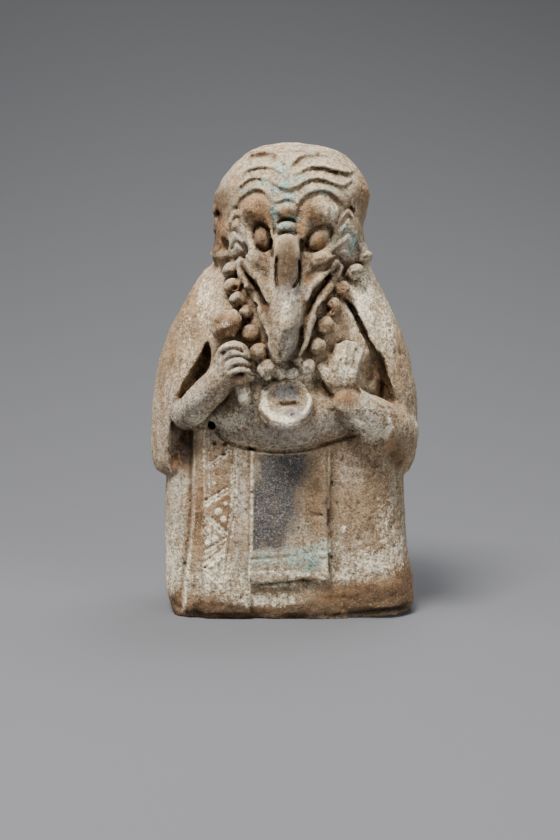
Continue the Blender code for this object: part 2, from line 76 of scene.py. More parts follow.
# Sizes that the frame's solid has too, in mm
HEIGHT = 180.0
WALL = 6.0
VENT_BORE = 3.4
VENT_PLACE = (-29.4, 73.0)
WINDWAY_WIDTH = 8.0
WINDWAY_HEIGHT = 1.8
WINDOW_LENGTH = 3.4
DUCT_HEIGHT = 3.6
MOUTHPIECE_REACH = 11.0
MOUTHPIECE_WALL = 3.6
APRON_THICKNESS = 2.0
PANEL_THICKNESS = 1.5
HEM_THICKNESS = 0.4
# Shares and small sizes of the bores, as in the frame
OUTLET_SHARE = 0.45
LIP_EDGE = 0.6
LIP_SLOPE = 4.0
WINDOW_RISE = 10.0
WINDWAY_OVERLAP = 0.5
WINDWAY_EXCESS = 2.0
DUCT_EXCESS = 3.0
VENT_DEPTHS = (-36.0, -4.0)
VENT_STEPS = 32
# The form that cuts the foot flat
GROUND_REACH = 80.0
GROUND_DEPTH = 30.0
# The blowing stub, and the cells round it that it is laid into
STUB_SQUARENESS = 2.8
STUB_TAPER = 0.10
STUB_ROUNDING = 1.6
STUB_END_GAP = 0.3
STUB_MARGIN = 6.0
STUB_BEHIND = 4.0

# Cross sections, mm: height, right reach, left reach, front, back, squareness
ROBE = (
    (-2.0, -44.0, 46.4, -26.0, 25.5, 6.0),
    (1.0, -45.2, 47.4, -26.4, 26.0, 6.0),
    (4.0, -47.0, 48.4, -26.6, 26.5, 5.0),
    (10.0, -48.4, 48.4, -26.5, 27.0, 4.2),
    (18.0, -48.8, 47.0, -26.5, 27.0, 3.6),
    (33.0, -48.9, 45.2, -26.0, 26.5, 3.4),
    (50.0, -48.5, 44.6, -25.5, 26.0, 3.3),
    (66.0, -46.0, 43.0, -25.0, 25.0, 3.0),
    (80.0, -42.0, 40.0, -19.0, 24.0, 2.8),
)
CAPE = (
    (52.5, -49.6, 44.6, -24.0, 27.0, 2.8),
    (54.5, -52.8, 46.8, -25.5, 29.0, 2.8),
    (60.0, -54.4, 49.0, -27.0, 30.5, 2.8),
    (69.0, -54.4, 49.8, -28.5, 31.0, 2.8),
    (81.0, -53.6, 49.7, -29.5, 30.5, 2.8),
    (96.0, -51.1, 47.0, -29.0, 29.5, 2.7),
    (110.0, -46.3, 42.2, -27.5, 28.0, 2.6),
    (120.0, -41.1, 37.6, -24.5, 26.0, 2.5),
    (129.5, -35.2, 32.6, -20.0, 23.0, 2.4),
    (135.0, -30.0, 30.0, -16.0, 21.0, 2.4),
    (142.0, -25.0, 25.0, -12.0, 18.0, 2.3),
)
HEAD = (
    (124.0, -19.0, 19.0, -15.0, 12.0, 2.2),
    (129.0, -25.5, 26.0, -20.0, 16.0, 2.3),
    (136.0, -29.3, 29.8, -23.5, 20.0, 2.4),
    (142.0, -29.2, 29.0, -25.5, 22.0, 2.4),
    (148.0, -29.5, 28.0, -27.0, 23.5, 2.4),
    (155.0, -29.5, 29.6, -28.0, 24.0, 2.3),
    (161.0, -28.4, 30.7, -27.5, 23.5, 2.3),
    (166.5, -26.0, 29.0, -25.5, 22.0, 2.2),
    (172.0, -21.6, 25.0, -21.5, 18.5, 2.2),
    (176.0, -16.6, 20.4, -17.0, 14.5, 2.2),
    (178.7, -10.6, 13.0, -11.5, 9.5, 2.1),
    (179.8, -4.5, 6.0, -6.0, 4.5, 2.0),
)
BEAK = (
    (145.0, -7.0, 6.4, -29.0, -18.0, 2.0),
    (140.0, -12.0, 12.0, -31.0, -16.0, 1.9),
    (134.5, -16.0, 17.0, -33.6, -12.0, 1.7),
    (129.4, -13.4, 12.4, -35.6, -14.0, 1.7),
    (124.0, -10.4, 9.4, -38.0, -18.0, 1.8),
    (118.4, -8.2, 7.0, -40.6, -22.0, 2.0),
    (113.0, -7.0, 5.7, -42.4, -25.0, 2.1),
    (107.6, -6.4, 5.2, -43.0, -26.0, 2.2),
    (102.2, -5.1, 3.7, -42.2, -28.0, 2.2),
    (98.8, -3.8, 0.4, -41.0, -31.0, 2.0),
    (97.2, -2.6, -1.2, -40.0, -35.0, 2.0),
)
CORE = (
    (0.0, -45.5, 46.0, -24.5, 25.0, 3.4),
    (9.0, -48.5, 47.6, -26.0, 26.5, 3.4),
    (45.0, -48.2, 44.6, -25.5, 26.0, 3.3),
    (56.0, -48.0, 44.4, -19.5, 26.5, 3.0),
    (64.0, -52.0, 48.0, -17.0, 29.0, 2.8),
    (81.0, -52.6, 48.6, -15.5, 29.6, 2.8),
    (96.0, -50.0, 46.2, -15.5, 28.8, 2.7),
    (110.0, -45.2, 41.4, -15.5, 27.0, 2.6),
    (120.0, -39.4, 36.2, -15.5, 24.8, 2.5),
    (129.0, -29.5, 29.5, -16.5, 20.5, 2.4),
    (137.0, -26.5, 26.5, -19.0, 18.5, 2.3),
    (146.0, -27.5, 27.0, -22.0, 21.0, 2.4),
    (156.0, -28.0, 28.0, -23.0, 22.5, 2.3),
    (168.0, -24.0, 26.5, -21.0, 20.0, 2.2),
    (176.0, -14.0, 16.5, -13.5, 12.0, 2.2),
    (180.0, -5.0, 6.0, -5.5, 4.5, 2.0),
)
OPENING = (
    (-17.0, 131.0), (-25.0, 119.0), (-29.0, 108.0), (-33.5, 97.0), (-40.0, 87.0), (-44.5, 74.0),
    (-45.5, 62.0), (-42.0, 48.0), (42.0, 48.0), (44.0, 58.0), (41.5, 74.0), (38.3, 84.0),
    (32.0, 97.5), (26.8, 109.5), (21.4, 124.0), (14.0, 131.0),
)
OPENING_BACK = -15.5
OPENING_FRONT = -60.0
# The robe's back at the height of the mouthpiece
ROBE_BACK = ROBE[3][4]

# How far edges are rounded, and how soft the fillets of large forms are, in mm
CAPE_ROUNDING = 2.4
CAPE_FILLET = 1.0
HEAD_FILLET = 2.0
BEAK_FILLET = 1.6
CLOTH_BACK = -4.0
CLOTH_ROUNDING = 0.9
CLOTH_FILLET = 0.5
FINGER_FILLET = 0.9
RIM_FILLET = 1.6
RIM_STEPS = 33
BEAD_CHIPS = 2

# Forms in mm: an oval's middle or a limb's course, its radii, its fillet, and an oval's turn in degrees
CHEST_FORMS = (
    ((-0.5, -10.0, 105.5), (29.5, 23.0, 33.0), 2.0),
    ((21.5, -13.0, 101.0), (12.5, 13.0, 24.0), 3.0, (0, -20, 0)),
    ((-25.0, -13.0, 106.0), (12.0, 13.5, 20.0), 3.0, (0, 20, 0)),
    ((-1.0, -13.0, 79.0), (32.0, 21.5, 18.0), 0.8),
)
FOREARMS = (
    (((-38.6, -19.5, 77.0), (-35.6, -25.0, 80.0), (-30.5, -30.0, 85.5), (-25.0, -34.0, 91.0),
      (-21.0, -36.5, 96.0)), (5.9, 6.2, 6.0, 5.4, 5.0), 1.6),
    (((40.5, -15.0, 70.5), (36.5, -20.5, 73.6), (29.0, -26.6, 77.6), (22.0, -30.0, 82.5)),
     (8.6, 8.2, 7.6, 6.2), 2.6),
)
PALM = (((-20.2, -35.6, 97.4), (6.7, 6.6, 7.2), 1.5),)
RATTLE_NECK = ((((-20.6, -33.4, 103.0), (-19.5, -35.4, 99.0), (-17.0, -36.6, 90.0)), (2.4, 2.3, 2.1), 1.0),)
WORN_FOOT = (
    (((4.0, -31.0, -3.0), (22.0, -29.5, -1.6), (44.0, -22.0, -0.6), (52.0, -8.0, -1.5)),
     (4.2, 4.8, 4.8, 4.0), 1.4),
)
# The same on the left side, and mirrored on the right
TEMPLE = ((19.4, -17.4, 146.5), (7.6, 5.6, 12.0), 2.5, 36)
EAR = ((26.8, -9.6, 138.0), (3.4, 4.2, 4.6), 1.0, 0)

# The beak's raised edges, the slits of the mouth and the strips of the lower jaw, corner to tip, by
# pixel and depth
RIGHT_LIP = ((243.4, 262.0, -24.0), (250.4, 269.6, -27.4), (258.8, 280.0, -31.4), (263.0, 289.0, -34.2),
             (267.0, 301.0, -36.6))
LEFT_LIP = ((336.4, 262.0, -23.6), (327.6, 270.4, -27.4), (318.0, 279.0, -31.6), (311.4, 287.0, -34.6),
            (307.0, 299.0, -36.8))
RIGHT_SLIT = ((242.6, 268.4, -25.4), (247.0, 276.6, -28.2), (254.6, 287.0, -32.4), (260.6, 298.0, -36.0),
              (265.4, 312.0, -38.4), (268.6, 330.0, -39.6), (271.4, 346.0, -40.0))
LEFT_SLIT = ((336.2, 268.8, -25.0), (329.4, 276.4, -28.4), (320.8, 286.0, -32.8), (314.6, 297.0, -36.4),
             (309.4, 310.0, -38.6), (305.6, 326.0, -39.8), (304.4, 340.0, -40.0))
RIGHT_JAW = ((238.8, 262.0, -22.6), (241.6, 276.0, -25.4), (249.4, 289.4, -29.6), (257.0, 302.0, -33.2),
             (262.6, 316.0, -35.8), (266.6, 331.0, -37.2), (270.6, 347.0, -38.0), (276.6, 361.0, -38.4))
LEFT_JAW = ((341.4, 266.0, -22.0), (335.4, 278.4, -25.6), (326.4, 290.0, -30.0), (319.0, 302.0, -33.6),
            (313.0, 316.0, -36.2), (308.4, 330.0, -37.4), (306.0, 343.0, -38.0), (299.6, 355.0, -38.4))
LIP_RADII = (1.0, 1.5, 1.6, 1.2, 0.5)
SLIT_RADII = (0.8, 1.2, 1.15, 0.8, 0.5, 0.35, 0.25)
JAW_RADII = (0.9, 1.4, 1.6, 1.6, 1.5, 1.3, 1.1, 0.8)
JAW_SET_BACK = 1.1
JAW_FILLET = 2.4

# Forms whose places are by pixel and depth, otherwise as above
FACE_FORMS = (
    ((257.4, 210.0, -22.4), (5.9, 7.6, 6.0), 1.1, (0, 0, -12)),
    (((265.4, 213.0, -25.0), (269.4, 226.0, -25.6), (271.0, 240.0, -26.4)), (3.6, 2.6, 1.6), 1.4),
    ((318.6, 212.5, -22.2), (8.0, 7.6, 6.2), 1.1, (0, 8, 12)),
    (((307.0, 214.0, -25.0), (303.6, 226.0, -26.2), (302.4, 240.0, -27.0)), (3.4, 2.8, 1.8), 1.4),
    ((286.8, 210.5, -26.4), (4.3, 4.2, 3.0), 0.7),
    ((286.8, 227.4, -27.0), (4.2, 4.2, 2.8), 0.5),
)
BEAK_FORMS = (
    (((286.8, 246.5, -31.6), (286.8, 254.0, -34.4), (286.8, 266.0, -36.6), (287.6, 281.0, -37.4)),
     (4.9, 5.2, 5.4, 4.6), 1.0),
    (((287.0, 287.0, -38.4), (287.2, 305.0, -39.8), (287.0, 322.0, -41.0), (286.6, 345.0, -40.0)),
     (2.6, 3.0, 3.2, 2.2), 2.6),
    ((259.0, 262.5, -26.4), (5.6, 5.4, 4.4), 2.0, (0, 30, 0)),
    ((316.5, 260.0, -27.4), (6.4, 5.4, 3.4), 1.2, (0, -14, 0)),
    (((242.6, 212.0, -18.6), (245.6, 231.0, -21.4), (252.4, 247.4, -24.4), (262.0, 257.0, -27.0)),
     (1.7, 2.2, 2.3, 1.7), 1.6),
    (((338.6, 226.0, -18.0), (333.4, 242.4, -21.4), (323.4, 253.4, -24.6), (309.0, 258.0, -27.4)),
     (1.9, 2.4, 2.4, 1.7), 1.6),
    (RIGHT_LIP, LIP_RADII, 2.6),
    (LEFT_LIP, LIP_RADII, 2.6),
)
SOCKETS = (
    ((261.8, 237.4, -28.0), (3.5, 6.6, 5.6), 0.6, (0, -14, 0)),
    ((257.6, 227.6, -28.0), (2.6, 5.4, 2.6), 0.8),
    (((257.6, 248.0, -27.6), (263.0, 250.4, -28.4), (269.4, 254.4, -29.6)), (0.8, 1.0, 0.8), 0.6),
    ((318.2, 238.6, -28.0), (4.2, 6.6, 6.7), 0.6, (0, 46, 0)),
    ((328.6, 231.6, -26.6), (2.0, 4.6, 2.6), 0.8, (0, 20, 0)),
    ((306.4, 246.8, -29.6), (2.4, 4.4, 1.7), 0.6),
)
NOSTRILS = (
    (((270.0, 248.0, -31.0), (269.8, 262.0, -34.2), (269.6, 276.0, -36.4)), (1.7, 1.7, 0.9), 1.0),
    (((304.0, 246.0, -31.0), (304.8, 258.0, -34.0), (307.0, 270.0, -35.0), (309.6, 280.0, -35.4)),
     (1.2, 1.8, 1.7, 0.5), 1.0),
    (((309.0, 276.0, -34.6), (318.0, 270.6, -32.4), (329.6, 266.2, -28.8)), (1.9, 1.7, 0.8), 1.0),
    ((264.0, 272.0, -35.0), (3.2, 2.6, 3.4), 1.8, (0, 25, 0)),
)
SLITS = ((RIGHT_SLIT, SLIT_RADII, 0.4), (LEFT_SLIT, SLIT_RADII, 0.4))
EYES = (
    ((262.8, 238.2, -23.6), (3.1, 4.0, 5.0), 0.3, (0, -14, 0)),
    ((317.6, 239.2, -23.4), (3.7, 4.1, 5.5), 0.3, (0, 42, 0)),
)
SLEEVE = (((374.0, 440.0, -16.0), (13.0, 10.0, 8.0), 4.0, (0, 20, 0)),)
RIGHT_THUMB = ((((231.0, 381.0, -37.5), (240.5, 379.0, -39.4), (249.5, 377.5, -38.6)), (2.0, 2.2, 1.6), 1.0),)
RATTLE_HANDLE = (
    ((243.8, 394.5, -36.4), (2.5, 2.4, 4.2), 0.8, (0, -6, 0)),
    ((242.6, 388.0, -36.4), (2.7, 2.4, 3.0), 0.8, (0, -10, 0)),
)
OPEN_PALM = (
    ((344.0, 378.0, -29.6), (6.6, 5.0, 7.6), 1.8, (0, 4, 0)),
    ((335.0, 371.0, -29.0), (5.6, 4.2, 6.4), 1.8, (0, -24, 0)),
)
LEFT_THUMB = ((((336.0, 387.0, -31.0), (327.5, 377.0, -32.0), (320.6, 366.5, -31.6)), (2.6, 2.0, 1.2), 1.2),)
SLEEVE_HOLLOWS = (
    (((187.0, 436.0, -27.0), (185.6, 449.0, -26.4), (181.6, 462.0, -26.4)), (3.0, 4.2, 4.2), 3.0),
    ((372.0, 372.0, -23.0), (3.6, 5.0, 6.6), 2.4, (0, 24, 0)),
)
HEAD_CHIPS = (
    ((219.6, 215.0, -13.0), (1.5, 4.0, 2.0), 0.6, (0, 10, 30)),
    (((214.6, 226.0, -8.0), (214.4, 238.0, -7.0), (216.0, 250.0, -7.0)), (0.8, 1.4, 0.9), 1.2),
)
# Clefts by pixel, with their radii, each cut at several depths
SLEEVE_CLEFTS = (
    (((207.6, 344.0), (206.6, 354.0), (202.6, 366.0), (194.0, 378.0), (184.0, 389.0)),
     (0.6, 1.6, 2.5, 1.9, 0.9)),
    (((341.6, 298.0), (348.6, 304.0), (355.4, 315.0), (362.6, 331.0), (371.6, 349.0), (380.6, 366.0),
      (389.4, 389.0)), (0.3, 0.6, 0.8, 0.9, 1.1, 1.4, 1.1)),
)
SLEEVE_CLEFT_DEPTHS = (-28.0, -26.5, -25.0, -23.5, -22.0, -20.5, -19.0, -17.5)
BELLY_CLEFT = (
    (((316.0, 369.0), (320.6, 382.0), (325.6, 398.0), (332.0, 408.0), (339.0, 414.6)),
     (0.5, 0.8, 0.8, 0.8, 0.3)),
)
BELLY_CLEFT_DEPTHS = (-36.5, -33.5)
CLEFT_FILLET = 0.8

# Cloths on the robe's front: right, left and bottom edges as pairs, then the top and how far they stand out
CLOTHS = (
    ((-39.6, -36.2), (-14.2, -14.4), (2.0, 2.0), 72.0, PANEL_THICKNESS),
    ((-14.2, -14.0), (15.9, 15.2), (13.6, 15.6), 67.0, APRON_THICKNESS),
    ((-14.2, -14.0), (15.7, 15.4), (13.9, 15.9), 26.3, APRON_THICKNESS + HEM_THICKNESS),
)

# Beads, by pixel, depth and radius: the right strand, the left strand, then the lumps between them
BEADS = (
    (223.4, 255.0, -15.5, 2.9), (230.4, 270.3, -19.6, 3.1), (232.4, 286.8, -23.6, 3.2),
    (237.0, 300.4, -28.0, 3.2), (246.4, 312.0, -29.6, 2.7), (250.4, 333.0, -32.2, 3.3),
    (258.6, 352.4, -34.0, 3.6), (267.0, 369.4, -34.8, 3.8), (363.8, 258.0, -13.5, 3.4),
    (354.8, 271.8, -17.4, 3.5), (342.4, 289.6, -23.2, 3.1), (332.2, 308.0, -27.8, 3.5),
    (324.6, 325.6, -30.8, 3.3), (316.8, 346.2, -33.0, 3.2), (307.4, 366.0, -34.6, 2.7),
    (280.0, 373.8, -33.6, 2.1), (292.0, 373.4, -34.2, 2.2), (298.0, 360.4, -34.4, 1.9),
)
BEAD_LEAN = 0.12
BEAD_CHIP_PLACE = 1.62
BEAD_CHIP_SIZE = 0.85
RATTLE = (225.6, 323.5, -31.2)
RATTLE_RADII = (5.8, 5.8, 5.6)
RATTLE_LUMPS = 26
RATTLE_LUMP_PLACE = 5.3
RATTLE_LUMP_RADIUS = 1.3
# The disc: its pixel and depth, its tilt in degrees, the radius and make of its rim
DISC = (286.4, 402.6, -36.0)
DISC_TILT = (-27, 0, 0)
RIM_RADIUS = 8.2
RIM_DEPTH = 1.3
RIM_THICKNESS = (1.1, 1.5)
# Ovals and limbs in the disc's own directions, in mm
DISC_BODY = ((0, 3.4, 0), (9.5, 3.4, 9.5), 1.0)
DISC_DISH = ((0.5, -0.7, 1.2), (7.4, 3.6, 6.9), 0.5)
DISC_LUMP = ((0.2, 2.9, -2.4), (4.6, 1.7, 2.2), 1.0)
DISC_SLOT = (((-2.4, 2.4, 0.3), (0.8, 2.4, 0.3), (3.4, 2.4, 0.3)), (0.9, 1.1, 1.3), 0.4)
# A finger of the fist by pixel and depth, its knuckle to its tip, and how far down and in each one is set
FINGER = ((218.0, 359.0, -36.4), (223.0, 350.5, -39.4), (232.0, 346.6, -41.4), (240.5, 347.6, -41.0),
          (245.5, 352.0, -39.0))
FINGER_SHIFTS = ((0.0, 0.0), (7.6, 2.6), (15.6, 4.4), (23.4, 5.4))
FINGER_RADII = (1.4, 1.8, 1.9, 1.8, 1.4)
# Fingers of the open hand, by pixel: root, tip and thickness, and the depths of root, middle and tip
HAND_FINGERS = (
    ((336.5, 374.0), (339.4, 349.0), 2.3), ((342.0, 374.0), (346.4, 345.5), 2.3),
    ((348.0, 374.0), (353.2, 346.5), 2.3), ((352.0, 376.0), (359.0, 352.0), 2.1),
)
HAND_FINGER_DEPTHS = (-31.4, -31.8, -30.0)

# Left, top, right and bottom of each drawing in the photograph's pixels
FACE_FRAME = (205, 135, 385, 385)
BEAD_FRAME = (205, 235, 385, 395)
HAND_FRAME = (195, 335, 385, 425)
CLOTH_FRAME = (160, 405, 425, 625)
ZONE_FRAME = (140, 130, 425, 630)
# Front, back, foot and top, in mm, of what each drawing is pressed into
FACE_REACH = (-48.0, 4.0, 95.0, 182.0)
BEAD_REACH = (-48.0, -8.0, 90.0, 150.0)
HAND_REACH = (-48.0, -24.0, 68.0, 112.0)
CLOTH_REACH = (-40.0, -10.0, -3.0, 76.0)

# Folds of the forehead: course in pixels, width, depth, reach, fade at the ends, and shares of the depth
FACE_FOLDS = (
    (((236, 216), (237, 208), (240.7, 200.8), (246.3, 195.3), (251.9, 191.9), (258.6, 191.2),
     (264.2, 193.6), (268, 199), (269.6, 205)), 2.2, 1.3, 5.0, 0.1, (0.5, 0.7, 1.0, 1.1, 1.0, 0.8)),
    (((299, 209), (300.6, 203.4), (305.4, 198.1), (312.1, 193.6), (321.1, 191.4), (328.9, 193),
     (334.5, 197.5), (340, 203.1), (345, 207)), 1.9, 1.7, 5.0, 0.1, (0.7, 1.0, 1.1, 1.1, 1.0, 0.7)),
    (((235.1, 194.2), (240.7, 188), (247.4, 182.4), (255.2, 179.6), (263, 179.6), (269.7, 182.4),
     (275.3, 185.8), (280.9, 189.7), (285.4, 190.5)), 1.8, 1.4, 4.6, 0.15, (0.5, 1.0, 0.8, 0.6, 1.0, 0.9)),
    (((279, 188.4), (285.4, 190.6), (293.2, 189.9), (298.8, 187.5), (305.4, 183), (312.1, 180.2),
     (321.1, 180.2), (328.9, 182.4), (336.7, 186.3), (343.4, 187.5), (350.1, 184.1), (355.6, 181)), 1.5,
     1.7, 4.6, 0.12, (0.5, 0.8, 0.9, 1.1, 1.3, 1.1, 0.7, 0.5)),
    (((237.6, 179.4), (247.4, 171.8), (255.2, 169), (265.3, 168.5), (272, 169.6), (278.7, 173.5),
     (283.1, 178), (289.8, 179.6)), 2.0, 1.35, 5.0, 0.2, (0.5, 0.9, 1.0, 0.7, 0.5)),
    (((293, 177.4), (298.8, 174.1), (305.4, 170.7), (312.1, 168.5), (317.7, 167.7), (325.5, 169),
     (334.5, 171.3), (343.4, 173.5), (350.1, 174.1), (356.7, 170.7)), 1.4, 1.7, 4.6, 0.12,
     (0.4, 0.7, 1.0, 1.3, 1.2, 1.0, 0.7)),
    (((243.2, 162.7), (253, 156.8), (263, 155.1), (272, 156.2), (277.5, 159.6), (282, 164.6),
     (287.6, 168.5)), 2.4, 1.2, 6.0, 0.25, (0.6, 1.0, 0.8, 0.6)),
    (((290, 168.5), (293.2, 165.1), (297.6, 160.7), (303.2, 157.9), (311, 156.8), (321.1, 156.8),
     (332, 159)), 1.9, 1.4, 5.6, 0.2, (0.9, 1.2, 0.9, 0.7, 0.5)),
    (((276.4, 204.4), (280.9, 201.8), (287.6, 200.8), (294.3, 202.5), (297.6, 206)), 1.4, 1.0, 3.4),
    (((276.4, 223.6), (280.9, 220.4), (286.5, 218.9), (292.1, 220), (296.5, 223)), 1.4, 0.9, 3.4),
)
# Furrows: course in pixels, width, depth, and fade at the ends; less than no depth is a ridge
FACE_FURROWS = (
    (((278.2, 195.5), (284, 193.8), (291, 194.2), (297, 196)), 1.3, 0.4),
    (((272.0, 238), (271.6, 248), (272.8, 258)), 1.5, 1.0),
    (((300.8, 238), (301.6, 248), (301.0, 262)), 1.5, 1.0),
    (((270.5, 205), (272, 215.5), (274.4, 228.9), (275, 238)), 1.4, 0.7),
    (((298.8, 209), (299.4, 218), (300, 230)), 1.4, 0.6),
    (((319.5, 206), (320, 216), (318, 225)), 3.0, 0.35),
    (((346, 206), (350, 207.6), (355.4, 212.4)), 1.8, 0.8),
    (((275.5, 236.6), (281, 233.2), (287.6, 232.4), (294.3, 233.4), (300, 237)), 1.3, 0.7),
    (((309, 258.4), (316, 261.0), (323.3, 259.2), (329, 254.7)), 1.3, 0.45),
    (((277.4, 255), (276.6, 266), (276.6, 274.6), (277.6, 283), (279.4, 289)), 1.5, 2.4),
    (((297.8, 257), (299.2, 268), (298.6, 277.9), (296, 284.4), (291, 289)), 1.4, 2.1),
    (((284.5, 252), (284.2, 262), (284.8, 274)), 1.8, 0.35),
    (((285.6, 331), (287.4, 339), (284.8, 348), (286.6, 356)), 1.1, 0.6),
    (((260.8, 240.5), (264.5, 246)), 1.0, 0.35),
)
# Chevrons of the cheeks: their depth, then the course of each
CHEEKS = (
    (0.95, (
        ((226.2, 228), (228.4, 217.6), (235.1, 207.5), (240, 213)),
        ((228.5, 240), (231.5, 225.5), (236.6, 217.2), (240.6, 224), (246, 236)),
        ((227.8, 250), (230.6, 236), (234.4, 229.6), (239, 235), (245.6, 246), (251.9, 254)),
        ((230.8, 257), (232.4, 247), (235.7, 241.4), (240.6, 245), (246.4, 253), (254, 261)),
        ((236.2, 263), (237.6, 256.6), (241.4, 254.4), (246.5, 259.5), (251.5, 267)),
    )),
    (0.85, (
        ((334, 226), (339.6, 216), (347.4, 206.5), (353.4, 213), (357, 225)),
        ((336.4, 235), (342, 224.6), (347.9, 216.5), (352.4, 223), (356, 235)),
        ((331.5, 247.6), (339.4, 239.4), (347.9, 232.4), (352.4, 238.6), (355, 248)),
        ((327.6, 256.4), (336.2, 250.4), (345.6, 246.8), (351.6, 252.4), (354.6, 259)),
        ((325.6, 267.6), (330.8, 260.8), (337.6, 257.6), (342, 262), (343.4, 268)),
    )),
)
CHEVRON_COURSE = (0.6, 0.9, 1.1, 1.0, 0.7)
CHEVRON_GAP = 5.0
# Sunk areas: outline in pixels, depth and softness
FACE_PATCHES = (
    (((283.4, 331), (293.2, 328.6), (302.6, 326.4), (302.2, 340.4), (299.4, 352.4), (290.4, 362.6),
     (283, 363.4), (279.4, 356.1), (281, 343.8)), 0.9, 1.8),
)
# Pits: pixel, radius and depth; less than no depth is a boss
FACE_PITS = (
    (222, 318, 1.7, -0.55), (230, 326, 1.7, -0.55), (224, 329, 1.7, -0.55), (231, 317, 1.7, -0.55),
    (256.5, 257, 1.4, 0.5), (262.5, 259.5, 1.1, 0.4), (252.6, 262.5, 1.1, 0.4), (286.6, 340, 1.2, 0.5),
    (284, 346.5, 1.0, 0.4), (289.4, 334, 0.9, 0.3), (276.7, 262, 0.9, 0.7), (276.7, 267.5, 0.9, 0.7),
    (276.7, 274, 0.9, 0.7), (276.7, 280.5, 0.9, 0.7),
)
BEAD_PITS = (
    (234.6, 288, 2.3, 2.0), (239.6, 306.4, 2.0, 1.3), (249, 318.8, 2.0, 1.2), (245.4, 320.6, 1.6, 0.8),
    (328.4, 309.4, 2.6, 2.2), (352.6, 273.4, 1.4, 0.8), (314.2, 347.4, 1.3, 0.8), (324.4, 329, 1.0, 0.5),
    (229.4, 272, 1.0, 0.6), (291, 376, 1.2, 0.7), (305.5, 368.6, 1.6, 0.7), (259.8, 355, 1.0, 0.4),
    (226.2, 324.2, 2.6, -0.5), (221.6, 330.6, 2.2, 0.5), (232.4, 316.4, 2.0, 0.4),
)
CLOTH_PITS = (
    (214.7, 443.6, 1.6, 1.4), (224.6, 444.6, 1.6, 1.4), (223.6, 454.4, 1.6, 1.4), (299, 588.5, 2.0, -1.0),
    (241, 600, 3.0, 0.5), (222, 606, 2.6, 0.6), (268, 603, 3.4, 0.5), (190, 600, 2.4, 0.5),
    (352, 590, 4.0, 0.5), (378, 580, 3.4, 0.6), (395, 596, 3.0, 0.7), (330, 600, 3.6, 0.5),
)
BEAD_FURROWS = (
    (((338, 287), (343, 285.4), (348, 287)), 0.9, 0.8),
    (((337.6, 291.4), (343, 289.6), (348.4, 291.6)), 0.9, 0.8),
    (((330.4, 300.4), (332.6, 308), (332.4, 314.6)), 1.2, 1.2),
)
FIST_CREASES = (
    ((221, 354.6), (228.5, 349.6), (236.6, 349.2), (243.4, 353.6)),
    ((224, 363.2), (231.6, 358), (239.6, 356.8), (247.4, 360), (250.8, 362)),
    ((228, 371.4), (236, 366.6), (244, 365.8), (252.6, 368.6)),
    ((229.6, 379), (238, 374.4), (247, 374), (254.4, 375.6)),
)
OPEN_HAND_CREASES = (
    ((341.8, 345), (340.6, 358), (339.6, 371)), ((349.4, 343), (348.4, 357), (346.6, 370)),
    ((355.6, 347), (354.8, 358), (353, 368)),
)
HAND_FURROWS = (
    (((363.2, 347.5), (357.1, 371), (355.1, 385.3)), 1.3, -0.8),
    (((332, 371), (336.5, 380)), 1.5, 0.5),
    (((357, 386.3), (371.4, 397.5), (391.8, 410)), 1.5, -0.6),
)
HAND_PATCHES = (
    (((330.6, 388), (337, 385.6), (357, 388), (362, 394), (352, 396), (336, 393)), 0.45, 2.0),
    (((352, 414), (359, 422), (384, 436), (392, 427), (389, 417), (376.5, 411), (361, 408.8)), 0.5, 1.2),
)
# Incised upright lines of the panel
BORDERS = (
    ((204.2, 431), (204.0, 460), (204.4, 496)), ((209.2, 433), (209.0, 460), (209.4, 496)),
    ((231.0, 446), (231.6, 478), (230.6, 510), (225.4, 545), (220.6, 582)),
    ((235.8, 448), (236.2, 480), (235.0, 512), (230.0, 545), (225.4, 582)),
)
# Incised diagonals of the panel, each drawn twice, a little apart
DIAGONALS = (
    ((204.0, 502.0), (229.0, 487.0)), ((209.7, 517.0), (227.0, 533.5)), ((204.0, 552.0), (226.0, 538.4)),
    ((202.8, 564.4), (223.4, 549.3)), ((204.2, 566.7), (222.0, 581.4)), ((209.0, 464.0), (229.0, 449.0)),
)
DIAGONAL_GAP = 4.6
LATTICE = [[(u, v + shift) for u, v in line] for line in DIAGONALS for shift in (0.0, DIAGONAL_GAP)]
# Raised dots with white paint: pixel and radius
WHITE_DOTS = (
    (218.2, 511.4, 3.3), (223.4, 518.8, 2.6), (208.7, 530.5, 2.1), (215.1, 538.3, 2.8), (207.6, 543.1, 2.4),
    (217.9, 558.9, 2.5), (211.0, 564.3, 3.0), (215.8, 571.8, 2.6), (215.1, 498.7, 2.3), (213.8, 483.6, 1.8),
    (225.4, 503.4, 1.6),
)
WHITE_DOT_DEPTH = -0.35
WHITE_DOT_PAINT = 2.0
